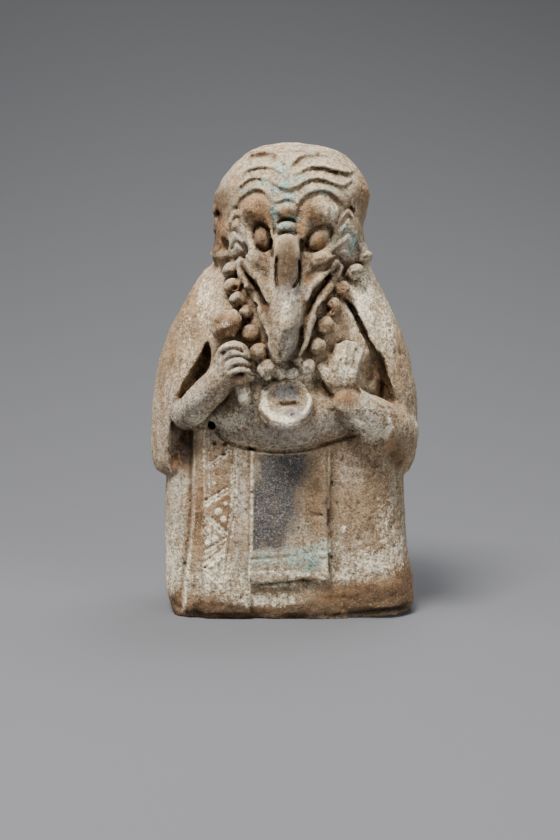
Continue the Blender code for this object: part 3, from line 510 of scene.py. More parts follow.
# The edge of the panel at the figure's right
PANEL_EDGE = [(194.6, 430), (194.4, 470), (194.2, 511), (190.2, 553), (187.4, 576), (183.6, 612)]
CLOTH_FURROWS = (
    (((251.6, 447), (251.8, 500), (251.0, 545), (249.2, 583)), 1.6, -0.7, 0.05),
    (((191.0, 430), (190.8, 470), (190.6, 511), (186.6, 553), (183.8, 576), (179.8, 612)), 1.5, 0.5, 0.05),
    (PANEL_EDGE, 1.5, -0.4, 0.05),
    (((326.6, 446), (327.4, 500), (328.6, 545), (329.4, 578)), 1.2, 0.5, 0.1),
    (((214, 430), (219, 435.2), (231.2, 443.6), (250.8, 449), (276, 451.8), (301.3, 450.4), (323.7, 444.8),
     (346.1, 437.8), (358, 434.8)), 1.5, 1.3, 0.08),
    (((231.2, 438.6), (250.8, 444), (276, 446.4), (301.3, 445), (323.7, 439.8)), 2.6, -0.5, 0.2),
    (((196.6, 427.6), (199.5, 424.4), (203, 423.2), (208.6, 423.6)), 0.7, 0.7, 0.1),
    (((172, 596), (178, 608), (190, 612)), 2.2, 0.5),
    (((249.5, 585.6), (270, 586.6), (300, 584.4), (329, 579)), 1.6, -0.2, 0.05),
    (((266, 589.4), (284, 589.6), (300, 588.4), (318, 585.6)), 2.8, 0.15, 0.3),
    (((249, 560), (270, 558.6), (300, 555), (329, 549.4)), 1.4, 0.45, 0.05),
)

# Paint, stains, painted shade and painted light: centre, reach across and up, and strength of each patch, in
# pixels
ZONES = {
    "bare": (
        (280, 436, 50, 8, 0.3), (165, 330, 30, 60, 0.6), (190, 300, 18, 44, 0.6), (345, 460, 34, 28, 1.0),
        (362, 505, 34, 44, 1.0), (395, 420, 12, 50, 0.5), (222, 460, 26, 30, 0.7), (316, 500, 14, 44, 1.0),
        (165, 400, 8, 60, 0.6), (218, 235, 8, 40, 1.0), (240, 600, 70, 14, 0.8), (250, 330, 14, 50, 0.7),
        (330, 310, 14, 36, 0.7), (345, 395, 20, 24, 0.5), (240, 195, 14, 20, 0.5), (222, 520, 14, 44, 0.8),
    ),
    # Brown stains, with painted shadow in the recess left of the robe's front and in the band right of the
    # apron
    "brown": (
        (286.5, 264, 10, 22, 1.9), (186, 450, 13, 22, 1.2), (333, 500, 6, 44, 0.45), (378, 376, 8, 20, 0.8),
        (352, 385, 12, 14, 0.3), (250, 300, 8, 40, 0.4), (318, 330, 8, 40, 0.35), (262, 315, 5, 34, 0.5),
        (314, 315, 5, 34, 0.5), (172, 460, 9, 14, 0.4), (398, 455, 9, 22, 0.45), (376, 596, 44, 12, 1.1),
        (222, 610, 60, 10, 1.2), (214, 235, 6, 34, 0.9), (200, 520, 8, 44, 0.3), (316, 500, 10, 44, 0.15),
        (300, 610, 60, 9, 1.2), (404, 585, 8, 22, 1.1), (222, 202, 10, 14, 1.2), (174, 602, 7, 18, 1.0),
        (286, 215, 9, 12, 0.3),
    ),
    # A pale grey tint, partly the real grey of the robe and belly, partly painted light that lifts the shade
    # under the forearms, the fist, the belly and the beak's tip
    "wash_and_light": (
        (280, 434, 46, 14, 1.0), (245, 418, 14, 14, 0.8), (330, 425, 20, 14, 0.7), (205, 396, 22, 14, 0.8),
        (192, 408, 12, 12, 1.0), (364, 420, 26, 14, 0.9), (233, 360, 14, 16, 0.8), (172, 420, 16, 50, 0.6),
        (349, 244, 9, 20, 1.0), (336, 262, 10, 5, 0.6), (240, 244, 10, 20, 0.8), (238, 500, 8, 60, 0.7),
        (350, 470, 24, 20, 0.5), (268, 330, 8, 30, 0.4), (242, 394, 6, 12, 0.8), (352, 560, 24, 30, 0.4),
        (176, 500, 8, 50, 0.7), (284, 395, 24, 16, 0.4), (222, 424, 28, 10, 0.9), (292, 372, 36, 12, 0.7),
        (300, 268, 4, 20, 0.6), (290, 292, 16, 10, 0.7),
    ),
    # Places where the painted shade and dirt of creases and hollows is held back: under the forearms, round
    # the disc and below the beak's tip
    "less_dirt_and_shade": (
        (286, 402, 27, 24, 1.2), (280, 436, 70, 16, 1.2), (335, 235, 26, 30, 0.5), (165, 420, 20, 60, 0.6),
        (205, 395, 30, 26, 1.2), (370, 425, 34, 24, 0.8), (233, 362, 22, 24, 0.5), (345, 242, 16, 32, 0.9),
        (240, 242, 16, 26, 0.8), (286, 342, 16, 22, 0.6), (216, 424, 38, 13, 1.3), (295, 370, 46, 20, 1.3),
        (246, 400, 22, 16, 1.2), (188, 378, 9, 12, 0.9),
    ),
    "tip": (),
    "white": (),
    "slate": (
        (266, 412, 3, 6, 0.4), (290, 345, 6, 12, 0.5), (297, 418, 8, 4, 0.5),
    ),
    "turquoise": (
        (282, 168, 8, 7, 0.7), (285.5, 184, 6, 5, 1.0), (276, 191, 7, 4, 0.9), (262, 183, 9, 4, 0.7),
        (289, 197, 7, 4, 0.9), (274.4, 213, 3.0, 11, 1.2), (289.5, 220, 8, 3.4, 1.3), (286, 229, 8, 5, 0.9),
        (325, 190, 12, 5, 0.55), (353.5, 241, 5, 9, 0.8), (346, 228, 5, 7, 0.6), (350, 252, 4, 5, 0.5),
        (300, 179, 12, 5, 0.55), (304, 558, 22, 11, 0.75), (312, 564, 12, 9, 0.8), (322, 552, 9, 12, 0.6),
        (266, 558, 18, 10, 0.42), (248, 190, 10, 5, 0.5), (284.6, 203, 8, 2, 0.8),
    ),
    "soot": (
        (285, 438, 10, 4, 0.6), (300, 436, 14, 4, 0.3), (266, 575, 12, 4, 0.25),
    ),
    # Cream slip and lime, with painted light under the right forearm and below the beak's tip
    "cream": (
        (264, 404, 4, 8, 1.0), (208, 536, 12, 34, 0.32), (216, 576, 26, 16, 0.6), (232, 592, 22, 9, 0.6),
        (374, 562, 32, 13, 0.75), (350, 574, 22, 10, 0.7), (398, 550, 10, 18, 0.5),
        (362, 304, 14, 34, 0.75), (374, 432, 16, 9, 1.0), (356, 424, 8, 4, 0.9), (205, 300, 10, 34, 0.40),
        (170, 560, 12, 40, 0.6), (290, 573, 40, 3, 0.9), (262, 600, 34, 6, 0.9), (188, 345, 10, 50, 0.3),
        (344, 529, 3, 3, 1.3), (385, 520, 10, 26, 0.5), (345, 368, 9, 22, 0.5), (285, 308, 7, 14, 0.5),
        (244, 396, 5, 9, 0.9), (226, 325, 4, 4, 0.9), (334, 212, 8, 8, 0.6), (386, 330, 10, 44, 0.5),
        (238, 480, 10, 34, 0.12), (250, 402, 12, 12, 0.6), (328, 557, 10, 18, 0.8), (230, 422, 18, 9, 1.0),
        (204, 421, 18, 8, 0.9), (296, 374, 34, 11, 0.7),
    ),
    "rust": (
        (186, 310, 18, 44, 0.7), (172, 352, 5, 40, 0.7), (398, 350, 5, 50, 0.5), (188, 448, 8, 14, 0.6),
        (182, 458, 8, 10, 0.6), (232, 288, 8, 8, 0.9), (238, 302, 8, 6, 0.7), (250, 333, 9, 9, 0.6),
        (259, 352, 9, 9, 0.45), (267, 370, 9, 9, 0.5), (342, 290, 9, 9, 0.9), (333, 308, 9, 9, 0.8),
        (324, 326, 7, 8, 0.5), (382, 376, 5, 18, 1.1), (391, 395, 5, 8, 1.3), (372, 374, 8, 14, 0.7),
        (256, 208, 14, 13, 1.2), (267, 222, 6, 15, 1.0), (309, 212, 12, 13, 1.1), (302, 226, 6, 14, 0.9),
        (262, 238, 7, 11, 1.0), (319, 240, 8, 10, 1.0), (292, 260, 8, 22, 0.3), (308, 278, 6, 6, 1.0),
        (226, 325, 15, 15, 0.9), (346, 397, 13, 7, 0.9), (353, 390, 8, 8, 0.6), (200, 520, 9, 40, 1.1),
        (224, 512, 14, 40, 0.7), (200, 608, 38, 9, 1.2), (176, 602, 8, 16, 1.1), (250, 611, 40, 6, 1.0),
        (300, 609, 40, 5, 0.8), (372, 594, 44, 14, 1.4), (402, 580, 12, 22, 1.4), (340, 600, 30, 8, 1.2),
        (218, 222, 9, 28, 1.2), (176, 462, 12, 14, 0.7), (396, 452, 12, 14, 0.7), (330, 262, 14, 8, 0.6),
        (286, 213, 9, 8, 0.8), (236, 196, 12, 24, 0.5), (364, 190, 8, 34, 0.7), (262, 345, 8, 10, 0.6),
        (315, 500, 10, 44, 0.6), (240, 380, 10, 8, 0.5), (345, 325, 6, 8, 0.6), (163, 380, 6, 50, 0.5),
        (404, 330, 6, 60, 0.6), (372, 500, 26, 34, 0.35), (232, 362, 12, 10, 0.5), (205, 395, 14, 14, 0.4),
        (264, 300, 5, 20, 0.5), (385, 440, 8, 12, 0.6), (168, 420, 6, 30, 0.5), (294, 222, 8, 8, 0.6),
    ),
    # Painted shade and shadow in recesses, holes and slits, under the cape's edge, beside the nose bar and
    # below the eyes, with some dirt and the darker nose bar
    "dark": (
        (185, 450, 11, 20, 1.2), (226, 325, 14, 14, 0.2), (219.5, 215, 3, 4, 1.2), (352, 596, 30, 6, 0.3),
        (174, 606, 6, 12, 0.5), (386, 374, 5, 24, 0.6), (214, 240, 3, 10, 0.7), (287, 258, 12, 22, 0.60),
        (285, 439, 7, 3, 0.5), (400, 600, 14, 8, 0.4), (214.6, 443.6, 2.4, 2.4, 1.2),
        (224.6, 444.6, 2.4, 2.4, 1.2), (223.4, 454.4, 2.2, 2.2, 0.8), (330, 262, 20, 10, 0.25),
        (291.5, 387.5, 1.6, 1.6, 1.2), (285, 389.4, 1.4, 1.4, 0.9), (290, 345, 5, 12, 0.15),
        (260, 262, 11, 10, 0.9), (266, 276, 6, 9, 0.8), (308, 260, 8, 12, 0.9), (311, 273, 6, 9, 0.9),
        (306, 246, 6, 7, 0.9), (256, 286, 9, 10, 0.8), (243, 262, 7, 8, 0.6), (348, 402, 8, 8, 0.5),
        (350, 465, 14, 8, 0.35),
    ),
}
SPOT_REACH = 2.6
# Width, strength and course of painted, worn or dirty lines, and of painted shadows and highlights along
# edges
LINES = {
    # Painted shadow lines beside the panel's and apron's edges, in the sleeve's cleft, along the foot, under
    # the apron's hem, in the belly's crease and down the sides of the nose bar
    "dark": (
        (1.4, 0.4, [(u - 3.4, v) for u, v in PANEL_EDGE[:-1]]),
        (1.5, 0.4, [(248.8, 450), (249.0, 500), (248.2, 545), (246.4, 582)]),
        (5.0, 0.9, [(208, 344), (205, 362), (194, 380)]),
        (2.0, 0.6, [(326.8, 448), (327.6, 500), (328.8, 545), (329.6, 576)]),
        (3.0, 1.0, [(176, 618), (196, 619.4), (217, 619.8), (250, 619), (290, 617), (330, 614.4),
                    (372, 611.0), (408, 607.6)]),
        (2.4, 0.2, [(268, 589.6), (284, 590), (302, 588.8), (318, 586.2)]),
        (1.8, 0.6, [(214, 431), (231, 444.6), (251, 450), (276, 452.6), (301, 451.4), (323.7, 446),
                    (346, 439), (358, 436)]),
        (1.7, 0.7, [(272.0, 238), (271.6, 248), (273.4, 258)]),
        (1.7, 0.7, [(300.8, 238), (301.6, 248), (301.0, 262)]),
    ),
    # Painted highlights along the panel's edge, the apron's left and bottom edges and the disc's lower inner
    # band, beside cream paint in the panel's incised lines
    "cream": (
        (1.6, 0.25, PANEL_EDGE),
        (1.8, 0.5, PANEL_EDGE[3:]),
        (1.6, 0.65, [(251.8, 449), (252, 500), (251.2, 545), (249.4, 582)]),
        (1.8, 0.7, [(249.5, 584.6), (270, 585.4), (300, 583.4), (329, 578)]),
        (3.0, 1.4, [(264, 401), (265.6, 408), (270, 414), (277, 418), (285, 419.6), (294, 418.4)]),
        (2.0, 0.9, [(308, 392), (310, 400), (307, 408), (300, 414)]),
        (1.8, 0.8, [(352, 415), (361, 409), (376, 411), (388, 417), (391, 427), (384, 435), (366, 427),
                    (356, 420)]),
        *((1.3, 0.7, line) for line in LATTICE),
        *((1.2, 0.5, line) for line in BORDERS),
    ),
    # Painted highlight along the disc's top rim
    "white": (
        (1.2, 0.9, [(260.4, 394), (264.6, 388.4), (270.4, 384.2), (277, 381.6), (284, 380.4), (292, 380.6),
                    (299.4, 382.8), (306.4, 387.4)]),
    ),
    # Painted shadow along the disc's lower left edge
    "brown": ((2.6, 1.3, [(260.6, 410), (264.4, 416.4), (271, 421.6), (279, 424.8), (286, 425.6)]),),
    "soot": ((2.2, 0.9, [(288, 425), (296, 423.6), (303.6, 419.4), (309.6, 412.4), (312, 405)]),),
}
# Softness, strength and outline of painted areas, among them painted shade in the disc's slot
AREAS = {
    "soot": (
        (12.0, 1.0, [(258, 446), (309, 446), (307, 476), (298, 488), (297, 508), (291, 530), (286, 550),
                     (247, 552), (246, 520), (249, 488), (258, 474)]),
        (2.0, -2.0, [(225, 425), (345, 425), (345, 441), (323.7, 447.8), (301, 453.4), (276, 454.8),
                     (251, 452), (225, 445)]),
        (2.0, -2.0, [(240, 440), (252.6, 440), (253.0, 500), (252.2, 545), (250.4, 583), (238, 583)]),
    ),
    "slate": (
        (2.2, 0.85, [(274.6, 398), (275.4, 390), (281, 385.4), (290, 384.6), (297.4, 387), (298.4, 396),
                     (295, 400), (284, 399.6)]),
        (2.6, 0.7, [(289, 409), (299, 405.6), (306, 405), (306, 411), (300, 416), (292, 417.6), (286, 414)]),
        (2.2, 0.4, [(263, 398), (263, 391), (270, 385.6), (274, 386), (273, 397)]),
        (2.2, 0.4, [(272, 405), (285, 406.6), (286, 411.6), (275, 411)]),
    ),
    # Painted shade in the disc's slot
    "dark": ((1.3, 1.2, [(278.4, 401.4), (295.6, 400.4), (297, 404.6), (281, 406)]),),
    "tip": ((4.0, 0.8, [(283, 330), (293, 327), (303, 325), (302.6, 340), (300, 353), (290, 364),
                        (282, 364.6), (277.6, 356), (280.6, 343)]),),
}

# Colours of the clay, its slip, stains and paints, and of painted shade and light
BUFF = (0.345, 0.245, 0.148)
TAN = (0.270, 0.180, 0.104)
BROWN = (0.170, 0.100, 0.052)
SLIP = (0.510, 0.420, 0.278)
GREY_SLIP = (0.400, 0.360, 0.268)
RUST = (0.292, 0.156, 0.068)
DARK_RUST_AND_SHADE = (0.114, 0.053, 0.019)
CREAM = (0.820, 0.730, 0.540)
SOOT = (0.036, 0.039, 0.048)
TURQUOISE = (0.160, 0.370, 0.355)
GREY = (0.262, 0.240, 0.205)
PALE_WASH_AND_LIGHT = (0.520, 0.470, 0.405)
BROWN_STAIN_AND_SHADE = (0.088, 0.053, 0.029)
SLATE = (0.215, 0.222, 0.235)
DARK_EARTH_AND_SHADE = (0.025, 0.015, 0.008)

# Unevenness of the skin: the size of its lumps in mm, its seed and its depth
WOBBLES = ((13.0, 11, 0.34), (5.5, 12, 0.26), (2.4, 13, 0.15))
WORN_REACH = 3.0
PATCH_DEPTH = 0.12
POCK_DEPTH = 0.5
WORN_RIM_DEPTH = 1.2
WEATHERING = {
    "Grain size": 1.7 * MM, "Grain depth": 0.16 * MM,
    "Pit size": 1.1 * MM, "Pit depth": 0.35 * MM, "Seed": 3.0,
}
BUMP_HEIGHT = 0.42 * MM
# How far from the skin marks are pressed, and how large the wavers of their lines are, in mm
PRESS_REACH = 4.0
WAVER_SIZE = 3.5
# Where the skin would touch itself: how deep cells are filled, and how often this is tried
JUST_INSIDE = -0.02
MENDING_ROUNDS = 12
# How far edges are looked for round the skin, how deep the inside begins, and the rust round the foot
SHALLOW = 4.0
INNER_DEPTH = 2.0
FINE_BLUR = 1.2
BROAD_BLURS = (3.0, 2.0)
BACK_RUST = 0.8

# The studio, in metres: its floor bends up into a backdrop, and soft lights look at the chest
FLOOR_FRONT = -0.9
BEND_START = 0.12
BEND_RADIUS = 0.9
BEND_STEPS = 24
BACKDROP_HEIGHT = 2.6
BACKDROP_REACH = 2.4
PALE_PAPER = (0.122, 0.124, 0.133)
AIR_COLOUR = (0.80, 0.84, 0.90, 1.0)
AIR_STRENGTH = 0.13
SENSOR = 36.0
CHEST_POINT = (0.0, -0.02, 0.105)
# Place, breadth and height, power and colour of each light
LIGHTS = {
    "key": ((-0.20, -0.36, 0.84), (0.32, 0.26), 18.5, (1.0, 0.98, 0.95)),
    "fill": ((0.55, -0.60, 0.40), (0.45, 0.45), 3.0, (0.97, 0.98, 1.0)),
    "side": ((-0.70, -0.10, 0.45), (0.40, 0.50), 2.0, (0.97, 0.98, 1.0)),
    "top": ((0.15, 0.22, 0.72), (0.40, 0.30), 4.0, (1.0, 1.0, 1.0)),
}


def pixel_of(x, y, z):
    """Where the camera sees a point, in the photograph's pixels."""
    dx, dy, dz = x - CAMERA_PLACE[0], y - CAMERA_PLACE[1], z - CAMERA_PLACE[2]
    ahead = dx * FORWARD[0] + dy * FORWARD[1] + dz * FORWARD[2]
    across = dx * SIDEWAYS[0] + dy * SIDEWAYS[1] + dz * SIDEWAYS[2]
    up = dx * UPWARD[0] + dy * UPWARD[1] + dz * UPWARD[2]
    return PHOTO_MIDDLE[0] + FOCAL_PIXELS * across / ahead, PHOTO_MIDDLE[1] - FOCAL_PIXELS * up / ahead


def at(u, v, y):
    """The point at a given depth that the camera sees at a pixel."""
    across, down = u - PHOTO_MIDDLE[0], v - PHOTO_MIDDLE[1]
    ray = FORWARD + SIDEWAYS * across / FOCAL_PIXELS - UPWARD * down / FOCAL_PIXELS
    place = np.array(CAMERA_PLACE) + ray * (y - CAMERA_PLACE[1]) / ray[1]
    return tuple(float(value) for value in place)


def curve_through(points, steps=6):
    """A smooth line through points, as points closer together."""
    points = np.asarray(points, float)
    if len(points) < 3:
        return points
    ends = np.vstack([2 * points[0] - points[1], points, 2 * points[-1] - points[-2]])
    line = []
    for a, b, c, d in zip(ends, ends[1:], ends[2:], ends[3:]):
        for share in np.arange(steps) / steps:
            line.append(0.5 * (2 * b + (c - a) * share + (2 * a - 5 * b + 4 * c - d) * share ** 2
                               + (3 * b - a - 3 * c + d) * share ** 3))
    line.append(points[-1])
    return np.array(line)


def ease(value, low, high):
    """0 below low, 1 above high, and smooth between."""
    share = np.clip((value - low) / (high - low), 0.0, 1.0)
    return share * share * (3.0 - 2.0 * share)


def through_heights(sections, heights):
    """Each column of the cross sections at the heights given, along a curve that never overshoots."""
    rows = np.array(sorted(sections), float)
    known = rows[:, 0]
    gaps = np.diff(known)
    columns = []
    for column in rows[:, 1:].T:
        slopes = np.diff(column) / gaps
        tangents = np.zeros_like(column)
        tangents[0], tangents[-1] = slopes[0], slopes[-1]
        same = slopes[:-1] * slopes[1:] > 0
        safe_a = np.where(same, slopes[:-1], 1.0)
        safe_b = np.where(same, slopes[1:], 1.0)
        tangents[1:-1] = np.where(same, 2.0 / (1.0 / safe_a + 1.0 / safe_b), 0.0)
        z = np.clip(heights, known[0], known[-1])
        k = np.clip(np.searchsorted(known, z, side="right") - 1, 0, len(gaps) - 1)
        t = (z - known[k]) / gaps[k]
        columns.append((2 * t ** 3 - 3 * t ** 2 + 1) * column[k]
                       + (t ** 3 - 2 * t ** 2 + t) * gaps[k] * tangents[k]
                       + (3 * t ** 2 - 2 * t ** 3) * column[k + 1]
                       + (t ** 3 - t ** 2) * gaps[k] * tangents[k + 1])
    return columns


def overlap(first, second, soft):
    """What two shapes share, the edge where they meet rounded."""
    if soft == 0:
        return np.maximum(first, second)
    share = np.clip(0.5 - 0.5 * (first - second) / soft, 0.0, 1.0)
    return first + (second - first) * share + soft * share * (1.0 - share)


class Clay:
    """A block of cells that hold the distance to the clay's skin, in mm, less than 0 inside."""

    def __init__(self, low, high, cell):
        self.cell = cell
        self.axes = [np.arange(a, b + cell / 2, cell).astype(np.float32) for a, b in zip(low, high)]
        self.field = np.full([len(axis) for axis in self.axes], FAR, np.float32)

    def window(self, low, high):
        """The cells between two corners, and their coordinates laid out for broadcasting."""
        cut = tuple(slice(max(int(np.searchsorted(axis, a)) - 1, 0), int(np.searchsorted(axis, b)) + 1)
                    for axis, a, b in zip(self.axes, low, high))
        x, y, z = (axis[part] for axis, part in zip(self.axes, cut))
        return cut, x[:, None, None], y[None, :, None], z[None, None, :]

    def join(self, cut, shape, soft=0.0):
        """Lays a shape on the clay, with a soft fillet of clay where they meet."""
        self.field[cut] = -overlap(-self.field[cut], -shape, soft)

    def take(self, cut, shape, soft=0.0):
        """Cuts a shape out of the clay, its edge rounded a little."""
        self.field[cut] = overlap(self.field[cut], -shape, soft)

    def ball(self, centre, radii, turn=(0, 0, 0), soft=1.0, cut_away=False):
        """An oval, turned by three angles in degrees."""
        reach = max(radii) + soft + 2.0
        cut, x, y, z = self.window([c - reach for c in centre], [c + reach for c in centre])
        spin = np.array(Euler([math.radians(angle) for angle in turn]).to_matrix().transposed(), np.float32)
        dx, dy, dz = x - centre[0], y - centre[1], z - centre[2]
        near, far = 0.0, 0.0
        for row, radius in zip(spin, radii):
            along = (row[0] * dx + row[1] * dy + row[2] * dz) / radius
            near = near + along ** 2
            far = far + (along / radius) ** 2
        near, far = np.sqrt(near), np.sqrt(far)
        shape = near * (near - 1.0) / np.maximum(far, 1e-4)
        (self.take if cut_away else self.join)(cut, shape, soft)

    def limb(self, points, radii, soft=1.0, cut_away=False, smooth=True):
        """A rounded limb along a smooth line, thick as its radii say."""
        radii = np.broadcast_to(np.asarray(radii, float), (len(points),))
        rows = np.column_stack([np.asarray(points, float), radii])
        line = curve_through(rows, 4) if smooth else rows
        reach = float(max(radii)) + soft + 2.0
        cut, x, y, z = self.window(line[:, :3].min(0) - reach, line[:, :3].max(0) + reach)
        shape = None
        for a, b in zip(line, line[1:]):
            step = b[:3] - a[:3]
            length = float(step @ step) + 1e-6
            dx, dy, dz = x - a[0], y - a[1], z - a[2]
            share = np.clip((dx * step[0] + dy * step[1] + dz * step[2]) / length, 0.0, 1.0)
            away = np.sqrt((dx - share * step[0]) ** 2 + (dy - share * step[1]) ** 2
                           + (dz - share * step[2]) ** 2)
            away -= a[3] + share * (b[3] - a[3])
            shape = away if shape is None else np.minimum(shape, away)
        (self.take if cut_away else self.join)(cut, shape.astype(np.float32), soft)

    def lay(self, forms, cut_away=False, by_pixel=True):
        """Ovals and limbs from the rows of a table: place or course, radii, fillet, and an oval's turn."""
        for place, radii, soft, *turn in forms:
            if isinstance(place[0], tuple):
                self.limb([at(*point) for point in place] if by_pixel else place, radii, soft, cut_away)
            else:
                self.ball(at(*place) if by_pixel else place, radii, *turn, soft=soft, cut_away=cut_away)

    def sections(self, rows, grow=0.0):
        """The distance to a form through cross sections, and the cells it covers."""
        rows = sorted(rows)
        low, high = rows[0][0], rows[-1][0]
        margin = 5.0 + grow
        table = np.array(rows)
        cut, x, y, z = self.window((table[:, 1].min() - margin, table[:, 3].min() - margin, low - margin),
                                   (table[:, 2].max() + margin, table[:, 4].max() + margin, high + margin))
        right, left, front, back, square = (column.astype(np.float32)[None, None, :]
                                            for column in through_heights(rows, z[0, 0]))
        across = np.abs(x - (left + right) / 2) / ((left - right) / 2)
        along = np.abs(y - (front + back) / 2) / ((back - front) / 2)
        ratio = (across ** square + along ** square) ** (1.0 / square) - 1.0
        slope = np.sqrt(sum(part ** 2 for part in np.gradient(ratio, self.cell)))
        shape = ratio / np.maximum(slope, 0.012) - grow
        shape = np.maximum(shape, np.maximum(low - z, z - high))
        return cut, shape.astype(np.float32)

    def prism(self, outline, front, back):
        """The distance to an upright outline seen from the front, and the cells it covers."""
        outline = np.array(outline, float)
        low, high = outline.min(0) - 4.0, outline.max(0) + 4.0
        cut, x, y, z = self.window((low[0], front - 4.0, low[1]), (high[0], back + 4.0, high[1]))
        flat_x, flat_z = x[:, 0, :], z[0, :, :]
        away, inside = None, np.zeros((flat_x.shape[0], flat_z.shape[1]), bool)
        for a, b in zip(outline, np.roll(outline, -1, axis=0)):
            step = b - a
            share = np.clip(((flat_x - a[0]) * step[0] + (flat_z - a[1]) * step[1]) / (step @ step), 0, 1)
            gap = np.hypot(flat_x - a[0] - share * step[0], flat_z - a[1] - share * step[1])
            away = gap if away is None else np.minimum(away, gap)
            crosses = (flat_z > a[1]) != (flat_z > b[1])
            if step[1] != 0:
                inside ^= crosses & (flat_x < a[0] + (flat_z - a[1]) * step[0] / step[1])
        flat = np.where(inside, -away, away)[:, None, :]
        shape = np.maximum(flat, np.maximum(front - y, y - back))
        return cut, shape.astype(np.float32)


class Drawing:
    """Cuts and swellings drawn over the photograph's frame, in mm of depth, more than 0 where cut."""

    FINER = 2

    def __init__(self, left, top, right, bottom):
        self.corner = (left, top)
        self.u = np.arange(left, right, 1 / self.FINER)[:, None]
        self.v = np.arange(top, bottom, 1 / self.FINER)[None, :]
        self.depth = np.zeros((self.u.shape[0], self.v.shape[1]), np.float32)

    def around(self, points, reach):
        """The part of the drawing near some points."""
        low = (np.min(points, 0) - reach - self.corner) * self.FINER
        high = (np.max(points, 0) + reach - self.corner) * self.FINER
        cut = tuple(slice(int(max(a, 0)), int(max(b, 1))) for a, b in zip(low, high))
        return cut, self.u[cut[0]], self.v[:, cut[1]]

    def distance(self, line, u, v):
        """Distance to a line, on which side of it, and how far along it."""
        away = np.full((u.shape[0], v.shape[1]), 1e6)
        side, along = np.zeros_like(away), np.zeros_like(away)
        count = len(line) - 1
        for step, (a, b) in enumerate(zip(line, line[1:])):
            du, dv = b[0] - a[0], b[1] - a[1]
            share = np.clip(((u - a[0]) * du + (v - a[1]) * dv) / (du * du + dv * dv + 1e-9), 0, 1)
            gap = np.hypot(u - a[0] - share * du, v - a[1] - share * dv)
            closer = gap < away
            away = np.where(closer, gap, away)
            side = np.where(closer, np.sign((u - a[0]) * dv - (v - a[1]) * du), side)
            along = np.where(closer, (step + share) / count, along)
        return away, side, along

    def stroke(self, points, reach, fade, along_it):
        """The drawing near a smooth line: the distance to it, its side, and how strong the mark is there."""
        line = curve_through(points)
        cut, u, v = self.around(line, 3 * reach)
        away, side, along = self.distance(line, u, v)
        share = np.interp(along, np.linspace(0, 1, len(along_it)), along_it)
        return cut, away, side, share * ease(along, -0.02, fade) * ease(1 - along, -0.02, fade)

    def furrow(self, points, width, depth, fade=0.15, along_it=(1.0,)):
        """A rounded furrow, or with less than no depth a ridge; along_it says how deep it is on its way."""
        cut, away, _, share = self.stroke(points, width, fade, along_it)
        self.depth[cut] += depth * share * np.exp(-(away / width) ** 2)

    def fold(self, points, width, depth, reach, fade=0.15, along_it=(1.0,)):
        """A roll of skin over a furrow: it swells above the line, and the skin comes up slowly under it."""
        cut, away, side, share = self.stroke(points, reach, fade, along_it)
        signed = away * side
        above = -0.55 * np.exp(-((signed - 0.62 * reach) / (0.6 * reach)) ** 2)
        below = 0.5 * np.exp(-np.maximum(-signed, 0.0) / reach) * ease(-signed, -0.8 * width, 0.8 * width)
        groove = 0.3 * np.exp(-(signed / width) ** 2)
        self.depth[cut] += depth * share * (above + below + groove)

    def patch(self, outline, depth, soft=1.5):
        """An area sunk to a depth, its sides sloping in."""
        outline = np.array(outline, float)
        cut, u, v = self.around(outline, 2 * soft + 2)
        away, _, _ = self.distance(np.vstack([outline, outline[:1]]), u, v)
        inside = np.zeros(away.shape, bool)
        for a, b in zip(outline, np.roll(outline, -1, axis=0)):
            if a[1] != b[1]:
                crosses = (v > min(a[1], b[1])) & (v <= max(a[1], b[1]))
                inside ^= crosses & (u < a[0] + (v - a[1]) * (b[0] - a[0]) / (b[1] - a[1]))
        self.depth[cut] += depth * ease(np.where(inside, away, -away), -soft, soft)

    def pit(self, u0, v0, radius, depth):
        """A small round hollow, or with less than no depth a small boss."""
        cut, u, v = self.around([(u0, v0)], 3 * radius)
        self.depth[cut] += depth * np.exp(-((u - u0) ** 2 + (v - v0) ** 2) / radius ** 2)

    def at(self, u, v):
        """The drawing's depth at pixels, read between its points."""
        a = np.clip((u - self.corner[0]) * self.FINER, 0, self.depth.shape[0] - 1.001)
        b = np.clip((v - self.corner[1]) * self.FINER, 0, self.depth.shape[1] - 1.001)
        i, j = a.astype(np.int32), b.astype(np.int32)
        s, t = a - i, b - j
        d = self.depth
        return ((d[i, j] * (1 - s) + d[i + 1, j] * s) * (1 - t)
                + (d[i, j + 1] * (1 - s) + d[i + 1, j + 1] * s) * t)


def press(clay, drawing, front, back, low, high, waver=0.8):
    """Presses a drawing into the clay along the lines of sight, between two depths and two heights."""
    cut, x, y, z = clay.window((-60.0, front, low), (60.0, back, high))
    part = clay.field[cut]
    near = np.nonzero(np.abs(part) < PRESS_REACH)
    px, py, pz = x[near[0], 0, 0], y[0, near[1], 0], z[0, 0, near[2]]
    u, v = pixel_of(px, py, pz)
    u = u + waver * lattice_noise(px, py, pz, WAVER_SIZE, 31)
    v = v + waver * lattice_noise(px, py, pz, WAVER_SIZE, 32)
    fade = 1.0 - ease(py, back - 5.0, back)
    fade = fade * ease(pz, low, low + 1.5) * (1.0 - ease(pz, high - 1.5, high))
    part[near] += (drawing.at(u, v) * fade).astype(np.float32)


